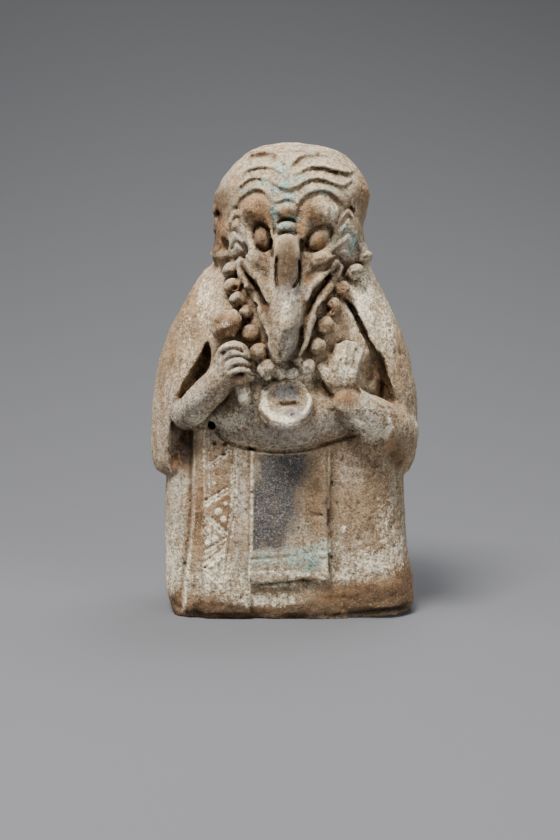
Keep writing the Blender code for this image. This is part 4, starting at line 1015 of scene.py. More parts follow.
def lattice_noise(x, y, z, size, seed):
    """Smooth noise from -1 to 1 whose lumps are about as large as size."""
    rng = np.random.default_rng(seed)
    table = rng.uniform(-1.0, 1.0, (32, 32, 32)).astype(np.float32)
    total = 0.0
    places = []
    for value in (x, y, z):
        scaled = value / size + 1000.0
        base = np.floor(scaled).astype(np.int32)
        share = scaled - base
        places.append((base & 31, (base + 1) & 31, share * share * (3 - 2 * share)))
    (x0, x1, sx), (y0, y1, sy), (z0, z1, sz) = places
    for ix, wx in ((x0, 1 - sx), (x1, sx)):
        for iy, wy in ((y0, 1 - sy), (y1, sy)):
            total = total + wx * wy * (table[ix, iy, z0] * (1 - sz) + table[ix, iy, z1] * sz)
    return total


def lay_cloth(clay, right, left, bottom, top, thickness):
    """A flat cloth on the robe's front; each side is a pair, its place low down and high up."""
    cut, robe = clay.sections(ROBE, grow=thickness)
    x, y, z = (axis[part] for axis, part in zip(clay.axes, cut))
    x, y, z = x[:, None, None], y[None, :, None], z[None, None, :]
    rise = np.clip((z - bottom[0]) / (top - bottom[0]), 0.0, 1.0)
    floor = bottom[0] + (bottom[1] - bottom[0]) * (x - right[0]) / (left[0] - right[0])
    across = np.maximum(right[0] + (right[1] - right[0]) * rise - x, x - left[0] - (left[1] - left[0]) * rise)
    limits = np.maximum(across, np.maximum(floor - z, z - top))
    shape = overlap(robe, np.maximum(limits, y - CLOTH_BACK), CLOTH_ROUNDING)
    clay.join(cut, shape.astype(np.float32), CLOTH_FILLET)


def body(clay):
    """Robe, chest and belly, and the cloths that hang down the robe's front."""
    clay.join(*clay.sections(ROBE))
    clay.lay(CHEST_FORMS, by_pixel=False)
    for cloth in CLOTHS:
        lay_cloth(clay, *cloth)


def cape(clay):
    """The cape, open down its front, its edges rounded."""
    cut, mantle = clay.sections(CAPE)
    space = Clay([axis[0] for axis in clay.axes], [axis[-1] for axis in clay.axes], clay.cell)
    opening_cut, opening = space.prism(OPENING, OPENING_FRONT, OPENING_BACK)
    space.field[opening_cut] = opening
    shape = overlap(mantle, -space.field[cut], CAPE_ROUNDING)
    clay.join(cut, shape.astype(np.float32), CAPE_FILLET)


def head(clay):
    """The skull, brows, frown, cheeks and ears."""
    clay.join(*clay.sections(HEAD), soft=HEAD_FILLET)
    clay.lay(FACE_FORMS)
    for side in (RIGHT, LEFT):
        for (x, y, z), radii, soft, turn in (TEMPLE, EAR):
            clay.ball((x * side, y, z), radii, (0, 0, turn * side), soft)


def beak(clay):
    """The great hooked beak, the bar of its nose, the pouches beside it and the jaw under it."""
    clay.join(*clay.sections(BEAK), soft=BEAK_FILLET)
    clay.lay(BEAK_FORMS)
    for jaw in (RIGHT_JAW, LEFT_JAW):
        strip = [(x, y + JAW_SET_BACK, z) for x, y, z in (at(*place) for place in jaw)]
        clay.limb(strip, JAW_RADII, JAW_FILLET)


def beads(clay):
    """Two strands of large beads, chipped, and the lumps between them under the beak's tip."""
    chance = np.random.default_rng(21)
    for u, v, y, radius in BEADS:
        lean = math.sin(7.0 * u)
        middle = Vector(at(u, v, y))
        radii = ((1 - BEAD_LEAN * lean) * radius, radius, (1 + BEAD_LEAN * lean) * radius)
        clay.ball(middle, radii, (0, 60 * lean, 0), 1.0)
        for _ in range(BEAD_CHIPS):
            across, up = chance.normal(size=2)
            way = Vector((across, -1.0, up)).normalized()
            chip = middle + BEAD_CHIP_PLACE * radius * way
            clay.ball(chip, [BEAD_CHIP_SIZE * radius] * 3, soft=0.9, cut_away=True)


def pendant(clay):
    """A dished disc that lies on the belly and looks a little upwards."""
    centre = Vector(at(*DISC))
    spin = Euler([math.radians(angle) for angle in DISC_TILT]).to_matrix()

    def on_disc(point):
        return centre + spin @ Vector(point)

    def oval(form, cut_away=False):
        middle, radii, soft = form
        clay.ball(on_disc(middle), radii, DISC_TILT, soft, cut_away)

    oval(DISC_BODY)
    turns = np.linspace(0, 2 * math.pi, RIM_STEPS)
    rim = [on_disc((RIM_RADIUS * math.cos(turn), RIM_DEPTH, RIM_RADIUS * math.sin(turn))) for turn in turns]
    thin, more = RIM_THICKNESS
    clay.limb(rim, thin + more * (0.5 - 0.5 * np.sin(turns + 0.5)), RIM_FILLET, smooth=False)
    oval(DISC_DISH, cut_away=True)
    oval(DISC_LUMP)
    course, radii, soft = DISC_SLOT
    clay.limb([on_disc(point) for point in course], radii, soft, cut_away=True)


def fist_and_rattle(clay):
    """The right fist, four fingers closed round the handle of a rattle."""
    clay.lay(PALM, by_pixel=False)
    for down, inwards in FINGER_SHIFTS:
        clay.limb([at(u + inwards, v + down, y) for u, v, y in FINGER], FINGER_RADII, FINGER_FILLET)
    clay.lay(RIGHT_THUMB)
    rattle, chance = Vector(at(*RATTLE)), np.random.default_rng(22)
    clay.ball(rattle, RATTLE_RADII, soft=1.4)
    for across, up, deep in chance.normal(size=(RATTLE_LUMPS, 3)):
        way = Vector((across, -abs(deep), up)).normalized()
        clay.ball(rattle + RATTLE_LUMP_PLACE * way, [RATTLE_LUMP_RADIUS] * 3, soft=0.9)
    clay.lay(RATTLE_NECK, by_pixel=False)
    clay.lay(RATTLE_HANDLE)


def open_hand(clay):
    """The left hand, worn flat, raised in front of the chest."""
    clay.lay(OPEN_PALM)
    for root, tip, radius in HAND_FINGERS:
        middle = [(a + b) / 2 for a, b in zip(root, tip)]
        course = [at(*place, depth) for place, depth in zip((root, middle, tip), HAND_FINGER_DEPTHS)]
        clay.limb(course, [radius, radius, radius * 0.85], 1.3)
    clay.lay(LEFT_THUMB)


def clefts(clay):
    """Deep clefts between the arms and the cape, round the belly, and the hollow under each sleeve."""
    def cleave(courses, depths):
        for depth in depths:
            for course, radii in courses:
                clay.limb([at(u, v, depth) for u, v in course], radii, CLEFT_FILLET, cut_away=True)

    cleave(SLEEVE_CLEFTS, SLEEVE_CLEFT_DEPTHS)
    clay.lay(SLEEVE_HOLLOWS, cut_away=True)
    cleave(BELLY_CLEFT, BELLY_CLEFT_DEPTHS)
    clay.lay(HEAD_CHIPS, cut_away=True)
    clay.lay(WORN_FOOT, cut_away=True, by_pixel=False)


def drawn(frame, folds=(), furrows=(), patches=(), pits=()):
    """A drawing of the marks in some tables, over one part of the photograph's frame."""
    drawing = Drawing(*frame)
    for rows, draw in ((folds, drawing.fold), (furrows, drawing.furrow),
                       (patches, drawing.patch), (pits, drawing.pit)):
        for row in rows:
            draw(*row)
    return drawing


def face_drawing():
    """Wrinkles of the forehead, the frown and the cheeks, and the beak's fine carving."""
    furrows = list(FACE_FURROWS)
    for depth, lines in CHEEKS:
        for line in lines:
            furrows.append((line, 1.6, depth, 0.2, CHEVRON_COURSE))
            furrows.append(([(u, v + CHEVRON_GAP) for u, v in line], 2.2, -0.4, 0.25))
    return drawn(FACE_FRAME, FACE_FOLDS, furrows, FACE_PATCHES, FACE_PITS)


def hand_drawing():
    """Creases between the fingers, wear of the open hand, and its broken patch."""
    furrows = [(line, 1.05, 1.0, 0.1) for line in FIST_CREASES]
    furrows += [(line, 1.3, 0.65, 0.1) for line in OPEN_HAND_CREASES]
    return drawn(HAND_FRAME, furrows=furrows + list(HAND_FURROWS), patches=HAND_PATCHES)


def cloth_drawing():
    """Incised borders and dots of the hanging cloth, the apron's band, chips and cracks."""
    incised = [(line, 1.2, 0.6, 0.05) for line in (*BORDERS, *LATTICE)]
    dots = [(u, v, radius, WHITE_DOT_DEPTH) for u, v, radius in WHITE_DOTS]
    return drawn(CLOTH_FRAME, furrows=incised + list(CLOTH_FURROWS), pits=dots + list(CLOTH_PITS))


def wear(clay):
    """Uneven modelling, worn patches and the eroded side of the head."""
    near = np.nonzero(np.abs(clay.field) < WORN_REACH)
    x, y, z = (axis[index] for axis, index in zip(clay.axes, near))

    def noise(size, seed):
        return lattice_noise(x, y, z, size, seed)

    wobble = sum(depth * noise(size, seed) for size, seed, depth in WOBBLES)
    wobble += PATCH_DEPTH * ease(noise(17.0, 14), 0.05, 0.45) * noise(1.3, 15)
    wobble += POCK_DEPTH * ease(noise(2.0, 16), 0.52, 0.75) * ease(noise(21.0, 17), -0.3, 0.5)
    eroded = ease(-x, 22.0, 28.0) * ease(z, 132.0, 138.0) * (1 - ease(z, 160.0, 166.0))
    eroded = eroded * ease(y, -19.0, -12.0) * (1 - ease(y, 4.0, 10.0))
    wobble += eroded * (1.5 * ease(noise(3.2, 18), 0.0, 0.6) + 0.6 * noise(1.6, 19))
    wobble += WORN_RIM_DEPTH * (1 - ease(z, 1.0, 8.0)) * ease(noise(5.0, 20), -0.2, 0.6)
    clay.field[near] += wobble.astype(np.float32)


def mouthpiece(clay):
    """The blowing stub low on the back, a rounded box."""
    wide = WINDWAY_WIDTH / 2 + MOUTHPIECE_WALL
    high = (WINDWAY_HEIGHT + DUCT_HEIGHT) / 2 + MOUTHPIECE_WALL
    middle = WALL + high
    low = (-wide - STUB_MARGIN, ROBE_BACK - WALL, middle - high - STUB_MARGIN)
    top = (wide + STUB_MARGIN, ROBE_BACK + MOUTHPIECE_REACH + STUB_BEHIND, middle + high + STUB_MARGIN)
    cut, x, y, z = clay.window(low, top)
    taper = 1.0 + STUB_TAPER * np.clip((ROBE_BACK + 3.0 - y) / WALL, 0.0, 2.0)
    across, up = np.abs(x) / (wide * taper), np.abs(z - middle) / (high * taper)
    tube = ((across ** STUB_SQUARENESS + up ** STUB_SQUARENESS) ** (1 / STUB_SQUARENESS) - 1.0) * high
    end = y - ROBE_BACK - MOUTHPIECE_REACH + STUB_END_GAP
    shape = overlap(tube, end, STUB_ROUNDING)
    clay.join(cut, shape.astype(np.float32), STUB_ROUNDING)


def sculpt():
    """The whole figure as a block of clay cells."""
    clay = Clay(*BLOCK, CELL)
    body(clay)
    cape(clay)
    head(clay)
    beak(clay)
    clay.lay(SOCKETS + NOSTRILS + SLITS, cut_away=True)
    clay.lay(EYES)
    press(clay, face_drawing(), *FACE_REACH)
    clay.lay(FOREARMS, by_pixel=False)
    clay.lay(SLEEVE)
    fist_and_rattle(clay)
    open_hand(clay)
    clefts(clay)
    beads(clay)
    pendant(clay)
    press(clay, drawn(BEAD_FRAME, furrows=BEAD_FURROWS, pits=BEAD_PITS), *BEAD_REACH)
    press(clay, hand_drawing(), *HAND_REACH)
    press(clay, cloth_drawing(), *CLOTH_REACH, waver=0.35)
    mouthpiece(clay)
    wear(clay)
    return clay


def views(field, flat=None):
    """Parts of a field, each moved on by 0 or 1 cell along its axes, though not along the flat one."""
    steps = itertools.product(*((None,) if axis == flat else (0, 1) for axis in range(3)))
    return [field[tuple(slice(None) if step is None else slice(step, size - 1 + step)
                        for size, step in zip(field.shape, way))] for way in steps]


def fill(parts, touching):
    """Makes the cells just clay at the places given, and counts the places."""
    for part in parts:
        part[touching] = np.minimum(part[touching], JUST_INSIDE)
    return int(touching.sum())


def mend(field):
    """Fills the cells where the skin would touch itself at an edge or a corner."""
    for _ in range(MENDING_ROUNDS):
        count = 0
        inside = field < 0
        for flat in range(3):
            a, b, c, d = views(inside, flat)
            count += fill(views(field, flat), (a & d & ~b & ~c) | (b & c & ~a & ~d))
        corners = views(field < 0)
        total = sum(corner.astype(np.uint8) for corner in corners)
        for one, other in zip(corners[:4], corners[:3:-1]):
            count += fill(views(field), (one & other & (total == 2)) | (~one & ~other & (total == 6)))
        if count == 0:
            return


def draw_skin(clay):
    """The clay's skin as points in mm and four-sided faces that look outwards."""
    field = clay.field
    inside = field < 0
    total = sum(view.astype(np.uint8) for view in views(inside))
    active = (total > 0) & (total < 8)
    cells = np.argwhere(active)
    number = np.full(active.shape, -1, np.int32)
    number[active] = np.arange(len(cells), dtype=np.int32)
    sums, counts = np.zeros((len(cells), 3)), np.zeros(len(cells))
    for a in np.array(list(itertools.product((0, 1), repeat=3))):
        for axis in np.nonzero(a == 0)[0]:
            b = a.copy()
            b[axis] = 1
            value_a = field[tuple((cells + a).T)]
            value_b = field[tuple((cells + b).T)]
            crossing = (value_a < 0) != (value_b < 0)
            share = value_a[crossing] / (value_a[crossing] - value_b[crossing])
            sums[crossing] += a + share[:, None] * (b - a)
            counts[crossing] += 1
    origin = np.array([axis[0] for axis in clay.axes], float)
    points = (cells + sums / counts[:, None]) * clay.cell + origin
    faces = []
    for axis in range(3):
        first, second = (axis + 1) % 3, (axis + 2) % 3
        changes = np.argwhere(np.diff(inside, axis=axis))
        leaves = inside[tuple(changes.T)]
        quad = []
        for back_first, back_second in ((1, 1), (0, 1), (0, 0), (1, 0)):
            cell = changes.copy()
            cell[:, first] -= back_first
            cell[:, second] -= back_second
            quad.append(number[tuple(cell.T)])
        quad = np.stack(quad, 1)
        quad[~leaves] = quad[~leaves][:, ::-1]
        faces.append(quad)
    return points, np.vstack(faces)


def mesh_object(name, points, faces):
    """An object of points in mm and faces of one length."""
    mesh = bpy.data.meshes.new(name)
    count, length = faces.shape
    mesh.vertices.add(len(points))
    mesh.vertices.foreach_set("co", (np.asarray(points, np.float32) * MM).ravel())
    mesh.loops.add(count * length)
    mesh.loops.foreach_set("vertex_index", faces.astype(np.int32).ravel())
    mesh.polygons.add(count)
    mesh.polygons.foreach_set("loop_start", np.arange(0, count * length, length, dtype=np.int32))
    mesh.update(calc_edges=True)
    thing = bpy.data.objects.new(name, mesh)
    bpy.context.collection.objects.link(thing)
    return thing


def settle(thing):
    """Applies an object's modifiers to its mesh."""
    bpy.context.view_layer.update()
    graph = bpy.context.evaluated_depsgraph_get()
    mesh = bpy.data.meshes.new_from_object(thing.evaluated_get(graph))
    thing.modifiers.clear()
    old, thing.data = thing.data, mesh
    bpy.data.meshes.remove(old)
    mesh.name = thing.name


def put(socket, value):
    """Links a value worked out by nodes to a socket, or sets the socket to a plain value."""
    if isinstance(value, Value):
        socket.id_data.links.new(value.socket, socket)
    else:
        socket.default_value = value


class Value:
    """A number, vector or colour that nodes work out, put together with others by arithmetic signs."""

    def __init__(self, socket):
        self.socket = socket

    def node(self, kind):
        return self.socket.id_data.nodes.new(kind)

    def math(self, operation, *parts):
        node = self.node("ShaderNodeMath")
        node.operation = operation
        for socket, part in zip(node.inputs, parts):
            put(socket, part)
        return Value(node.outputs[0])

    def __add__(self, other):
        return self.math("ADD", self, other)

    def __sub__(self, other):
        return self.math("SUBTRACT", self, other)

    def __rsub__(self, other):
        return self.math("SUBTRACT", other, self)

    def __mul__(self, other):
        return self.math("MULTIPLY", self, other)

    def __rtruediv__(self, other):
        return self.math("DIVIDE", other, self)

    def at_least(self, least):
        return self.math("MAXIMUM", self, least)

    def clamped(self):
        """The same value, kept from 0 to 1."""
        self.socket.node.use_clamp = True
        return self

    def between(self, low, high, interpolation="SMOOTHSTEP"):
        """0 below low, 1 above high, and smooth between."""
        node = self.node("ShaderNodeMapRange")
        node.interpolation_type = interpolation
        put(node.inputs["Value"], self)
        node.inputs["From Min"].default_value = low
        node.inputs["From Max"].default_value = high
        return Value(node.outputs["Result"])

    def vector(self, operation, label, other):
        node = self.node("ShaderNodeVectorMath")
        node.operation = operation
        put(node.inputs[0], self)
        put(node.inputs[label], other)
        return Value(node.outputs[0])


def node_noise(tree, size, detail, rough, seed, place=None):
    """Noise from 0 to 1 whose lumps are about as large as size."""
    node = tree.nodes.new("ShaderNodeTexNoise")
    node.noise_dimensions = "4D"
    for label, value in (("Scale", 1.0 / size), ("Detail", detail), ("Roughness", rough), ("W", seed)):
        put(node.inputs[label], value)
    if place is not None:
        put(node.inputs["Vector"], place)
    return Value(node.outputs[0])


def weathered_skin(thing, material):
    """Grain and small pits that ages in the ground leave on the skin, from a tree of nodes."""
    tree = bpy.data.node_groups.new("weathered skin", "GeometryNodeTree")
    face = tree.interface
    face.new_socket("Geometry", in_out="INPUT", socket_type="NodeSocketGeometry")
    dials = [(face.new_socket(label, in_out="INPUT", socket_type="NodeSocketFloat"), value)
             for label, value in WEATHERING.items()]
    face.new_socket("Geometry", in_out="OUTPUT", socket_type="NodeSocketGeometry")
    start, end = tree.nodes.new("NodeGroupInput"), tree.nodes.new("NodeGroupOutput")
    dial = {label: Value(start.outputs[label]) for label in WEATHERING}
    normal = Value(tree.nodes.new("GeometryNodeInputNormal").outputs[0])

    grain = node_noise(tree, dial["Grain size"], 2.0, 0.5, dial["Seed"])
    pits = node_noise(tree, dial["Pit size"], 0.0, 0.5, dial["Seed"] + 7.0)
    swell = (grain - 0.5) * dial["Grain depth"] * 2.0 - pits.between(0.64, 0.78, "LINEAR") * dial["Pit depth"]
    geometry = start.outputs["Geometry"]
    for kind, label, value in (("GeometryNodeSetPosition", "Offset", normal.vector("SCALE", "Scale", swell)),
                               ("GeometryNodeRealizeInstances", None, None),
                               ("GeometryNodeSetMaterial", "Material", material)):
        node = tree.nodes.new(kind)
        tree.links.new(geometry, node.inputs["Geometry"])
        if label:
            put(node.inputs[label], value)
        geometry = node.outputs["Geometry"]
    tree.links.new(geometry, end.inputs["Geometry"])

    weather = thing.modifiers.new("weather", "NODES")
    weather.node_group = tree
    for socket, value in dials:
        weather[socket.identifier] = value
    settle(thing)


def thin_out(thing, triangles):
    """Keeps the number of triangles down where the skin is flat, less so on the cloth and the face."""
    thing.data.calc_loop_triangles()
    count = len(thing.data.loop_triangles)
    if count <= triangles:
        return
    points = np.zeros(len(thing.data.vertices) * 3, np.float32)
    thing.data.vertices.foreach_get("co", points)
    x, y, z = points.reshape(-1, 3).T / MM
    u, v = pixel_of(x, y, z)
    kept = thing.vertex_groups.new(name="kept")
    for left, top, right, bottom, weight in FINE_AREAS:
        chosen = np.nonzero((u > left) & (u < right) & (v > top) & (v < bottom) & (y < FINE_BACK))[0]
        kept.add(chosen.tolist(), weight, "REPLACE")
    thin = thing.modifiers.new("thin", "DECIMATE")
    thin.ratio = triangles / count
    thin.vertex_group = kept.name
    thin.invert_vertex_group = True
    thin.vertex_group_factor = FINE_FACTOR
    settle(thing)
    thing.vertex_groups.clear()


def ring(section, count=40):
    """Points of a rounded four-sided ring, as far out on each side as its section says."""
    height, right, left, front, back, square = section
    points = []
    for step in range(count):
        across, along = math.cos(2 * math.pi * step / count), math.sin(2 * math.pi * step / count)
        x = (left + right) / 2 + (left - right) / 2 * math.copysign(abs(across) ** (2 / square), across)
        y = (back + front) / 2 + (back - front) / 2 * math.copysign(abs(along) ** (2 / square), along)
        points.append((x, y, height))
    return points


def closed_form(name, rows):
    """A closed object through rows of points in mm, each row a ring of as many points."""
    shape = bmesh.new()
    verts = [[shape.verts.new(Vector(point) * MM) for point in row] for row in rows]
    for lower, upper in zip(verts, verts[1:]):
        for step in range(len(lower)):
            following = (step + 1) % len(lower)
            shape.faces.new((lower[step], lower[following], upper[following], upper[step]))
    shape.faces.new(list(reversed(verts[0])))
    shape.faces.new(verts[-1])
    bmesh.ops.recalc_face_normals(shape, faces=shape.faces)
    bmesh.ops.triangulate(shape, faces=shape.faces)
    mesh = bpy.data.meshes.new(name)
    shape.to_mesh(mesh)
    shape.free()
    thing = bpy.data.objects.new(name, mesh)
    bpy.context.collection.objects.link(thing)
    return thing


def side_channel(name, side_view):
    """A closed channel of an outline seen from the side, as wide as the windway."""
    sides = (-WINDWAY_WIDTH / 2, WINDWAY_WIDTH / 2)
    return closed_form(name, [[(x, y, z) for y, z in side_view] for x in sides])


def combine(thing, other, operation):
    """Adds another object's form to a thing, or takes it away, and removes the other."""
    change = thing.modifiers.new("combine", "BOOLEAN")
    change.operation = operation
    change.solver = "EXACT"
    change.object = other
    settle(thing)
    bpy.data.objects.remove(other)


def hollow():
    """The sound chamber, its finger hole, and the windway, window and duct at the back, as one form."""
    stretch = (HEIGHT - 2 * WALL) / HEIGHT
    rows = []
    for height, right, left, front, back, square in CORE:
        inner = (WALL + height * stretch, right + WALL, left - WALL, front + WALL, back - WALL, square)
        if inner[2] - inner[1] > WALL and inner[4] - inner[3] > WALL:
            rows.append(ring(inner))
    floor = WALL + MOUTHPIECE_WALL
    sill = floor + DUCT_HEIGHT
    roof = sill + WINDWAY_HEIGHT
    lip_foot = sill + LIP_EDGE
    above = roof + WINDOW_RISE
    outlet = ROBE_BACK + OUTLET_SHARE * MOUTHPIECE_REACH
    lip = outlet - WINDOW_LENGTH
    windway_start = outlet - WINDWAY_OVERLAP
    end = ROBE_BACK + MOUTHPIECE_REACH + WINDWAY_EXCESS
    start = ROBE_BACK - WALL - DUCT_EXCESS
    vent = [(VENT_PLACE[0] + VENT_BORE / 2 * math.cos(turn), VENT_PLACE[1] + VENT_BORE / 2 * math.sin(turn))
            for turn in np.linspace(0, 2 * math.pi, VENT_STEPS, endpoint=False)]
    form = closed_form("chamber", rows)
    for part in (
            side_channel("windway", ((windway_start, sill), (end, sill), (end, roof), (windway_start, roof))),
            side_channel("window", ((lip, floor), (outlet, floor), (outlet, above), (lip - LIP_SLOPE, above),
                                    (lip, lip_foot))),
            side_channel("duct", ((start, floor), (outlet, floor), (outlet, lip_foot), (start, lip_foot))),
            closed_form("vent", [[(x, depth, z) for x, z in vent] for depth in VENT_DEPTHS])):
        combine(form, part, "UNION")
    return form


def ground():
    """All that lies below the plane the figure stands on."""
    reach = GROUND_REACH
    corners = ((-reach, -reach), (reach, -reach), (reach, reach), (-reach, reach))
    return closed_form("ground", [[(x, y, z) for x, y in corners] for z in (-GROUND_DEPTH, 0)])


def clean_up(thing):
    """Takes away specks that nothing holds, and closes the skin anew where two sheets share an edge."""
    shape = bmesh.new()
    shape.from_mesh(thing.data)
    waiting = set(shape.verts)
    specks = []
    while waiting:
        piece = [waiting.pop()]
        for vert in piece:
            found = {edge.other_vert(vert) for edge in vert.link_edges} & waiting
            waiting -= found
            piece.extend(found)
        if len(piece) < SPECK_POINTS:
            specks.extend(piece)
    bmesh.ops.delete(shape, geom=specks, context="VERTS")
    shared = {vert for edge in shape.edges if len(edge.link_faces) != 2 for vert in edge.verts}
    bmesh.ops.delete(shape, geom=list(shared), context="VERTS")
    rims = [edge for edge in shape.edges if edge.is_boundary]
    bmesh.ops.holes_fill(shape, edges=rims, sides=0)
    bmesh.ops.triangulate(shape, faces=[face for face in shape.faces if len(face.verts) > 3])
    shape.to_mesh(thing.data)
    shape.free()


def blurred(field, reach):
    """The mean over a cube of cells round each cell."""
    result = field
    for axis in range(3):
        padded = np.concatenate([np.repeat(result.take([0], axis), reach + 1, axis), result,
                                 np.repeat(result.take([-1], axis), reach, axis)], axis)
        total = np.cumsum(padded, axis=axis, dtype=np.float32)
        high = [slice(None)] * 3
        low = [slice(None)] * 3
        high[axis], low[axis] = slice(2 * reach + 1, None), slice(None, -2 * reach - 1)
        result = (total[tuple(high)] - total[tuple(low)]) / (2 * reach + 1)
    return result


def read_field(clay, field, points):
    """Values of a field at points in mm."""
    places = []
    for column, axis in zip(points.T, clay.axes):
        value = np.clip((column - axis[0]) / clay.cell, 0, len(axis) - 1.001)
        base = value.astype(np.int32)
        places.append((base, value - base))
    (i, a), (j, b), (k, c) = places
    total = 0.0
    for di, wa in ((0, 1 - a), (1, a)):
        for dj, wb in ((0, 1 - b), (1, b)):
            for dk, wc in ((0, 1 - c), (1, c)):
                total = total + wa * wb * wc * field[i + di, j + dj, k + dk]
    return total


def paint_zones():
    """Where paint, soot, lime, slip, stains, painted shade and painted light lie, drawn over the photograph's
    frame.
    """
    zones = {}
    for name, spots in ZONES.items():
        drawing = Drawing(*ZONE_FRAME)
        for u, v, radius_u, radius_v, strength in spots:
            cut, us, vs = drawing.around([(u, v)], SPOT_REACH * max(radius_u, radius_v))
            spot = strength * np.exp(-((us - u) / radius_u) ** 2 - ((vs - v) / radius_v) ** 2)
            drawing.depth[cut] = np.maximum(drawing.depth[cut], spot)
        for width, strength, line in LINES.get(name, ()):
            drawing.furrow(line, width, strength, 0.04)
        for soft, strength, outline in AREAS.get(name, ()):
            drawing.patch(outline, strength, soft)
        zones[name] = drawing
    for u, v, radius in WHITE_DOTS:
        zones["white"].pit(u, v, radius, WHITE_DOT_PAINT)
    return zones


def mark(thing, clay):
    """Gives each point of the skin its hollows, edges and zones of paint, stains, painted shade and painted
    light, for the finish to read.
    """
    mesh = thing.data
    count = len(mesh.vertices)
    points, normals = np.zeros(count * 3, np.float32), np.zeros(count * 3, np.float32)
    mesh.vertices.foreach_get("co", points)
    mesh.vertex_normals.foreach_get("vector", normals)
    points, normals = points.reshape(-1, 3) / MM, normals.reshape(-1, 3)
    shallow = np.clip(clay.field, -SHALLOW, SHALLOW)
    fine = read_field(clay, blurred(shallow, max(1, round(FINE_BLUR / clay.cell))), points)
    broad = blurred(blurred(shallow, round(BROAD_BLURS[0] / clay.cell)), round(BROAD_BLURS[1] / clay.cell))
    inner = read_field(clay, clay.field, points) < -INNER_DEPTH

    def shut_in(reach):
        """How much nearer the clay is, a little way off the skin, than it would be over a flat place."""
        return np.where(inner, 0.0, 1.0 - read_field(clay, clay.field, points + reach * normals) / reach)

    # Crease and hollow say how shut in the skin is, and the finish lays painted shade there; edge and crown
    # say how far it stands out, and the finish lays painted highlights there
    values = {
        "crease": ease(shut_in(0.9), 0.15, 0.80),
        "edge": np.where(inner, 0.0, ease(fine, 0.06, 0.34)),
        "hollow": ease(0.5 * shut_in(2.2) + 0.5 * shut_in(4.5), 0.14, 0.80),
        "crown": np.where(inner, 0.0, ease(read_field(clay, broad, points), 0.5, 2.0)),
    }
    u, v = pixel_of(*points.T)
    seen = ease(-normals[:, 1], -0.15, 0.25) * (1 - ease(points[:, 1], -2.0, 10.0)) * ~inner
    for name, drawing in paint_zones().items():
        values[name] = np.clip(drawing.at(u, v), 0.0, 1.0) * seen
    low = (1 - ease(points[:, 2], 3.0, 16.0)) * ~inner
    values["rust"] = np.maximum(values["rust"], BACK_RUST * low * (1 - seen))
    for name, value in values.items():
        layer = mesh.attributes.new(name, "FLOAT", "POINT")
        layer.data.foreach_set("value", value.astype(np.float32))


class Finish:
    """A material built from its nodes."""

    def __init__(self, name):
        self.material = bpy.data.materials.new(name)
        self.material.use_nodes = True
        self.tree = self.material.node_tree
        self.shader = self.tree.nodes["Principled BSDF"]
        place = Value(self.tree.nodes.new("ShaderNodeTexCoord").outputs["Object"])
        self.place = place.vector("SCALE", "Scale", 1 / MM)

    def noise(self, size, detail=3.0, rough=0.55, seed=0.0, stretch=None):
        """Noise from 0 to 1 whose lumps are about as large as size, in mm."""
        place = self.place if stretch is None else self.place.vector("MULTIPLY", 1, stretch)
        return node_noise(self.tree, size, detail, rough, seed, place)

    def mark(self, name):
        """A value that each point of the skin holds."""
        node = self.tree.nodes.new("ShaderNodeAttribute")
        node.attribute_name = name
        return Value(node.outputs["Fac"])

    def mix(self, share, first, second):
        """The first colour with a share of the second laid over it."""
        node = self.tree.nodes.new("ShaderNodeMix")
        node.data_type = "RGBA"
        put(node.inputs["Factor"], share)
        for label, colour in (("A", first), ("B", second)):
            socket = [item for item in node.inputs if item.name == label and item.type == "RGBA"][0]
            put(socket, colour if isinstance(colour, Value) else (*colour, 1.0))
        return Value([item for item in node.outputs if item.type == "RGBA"][0])


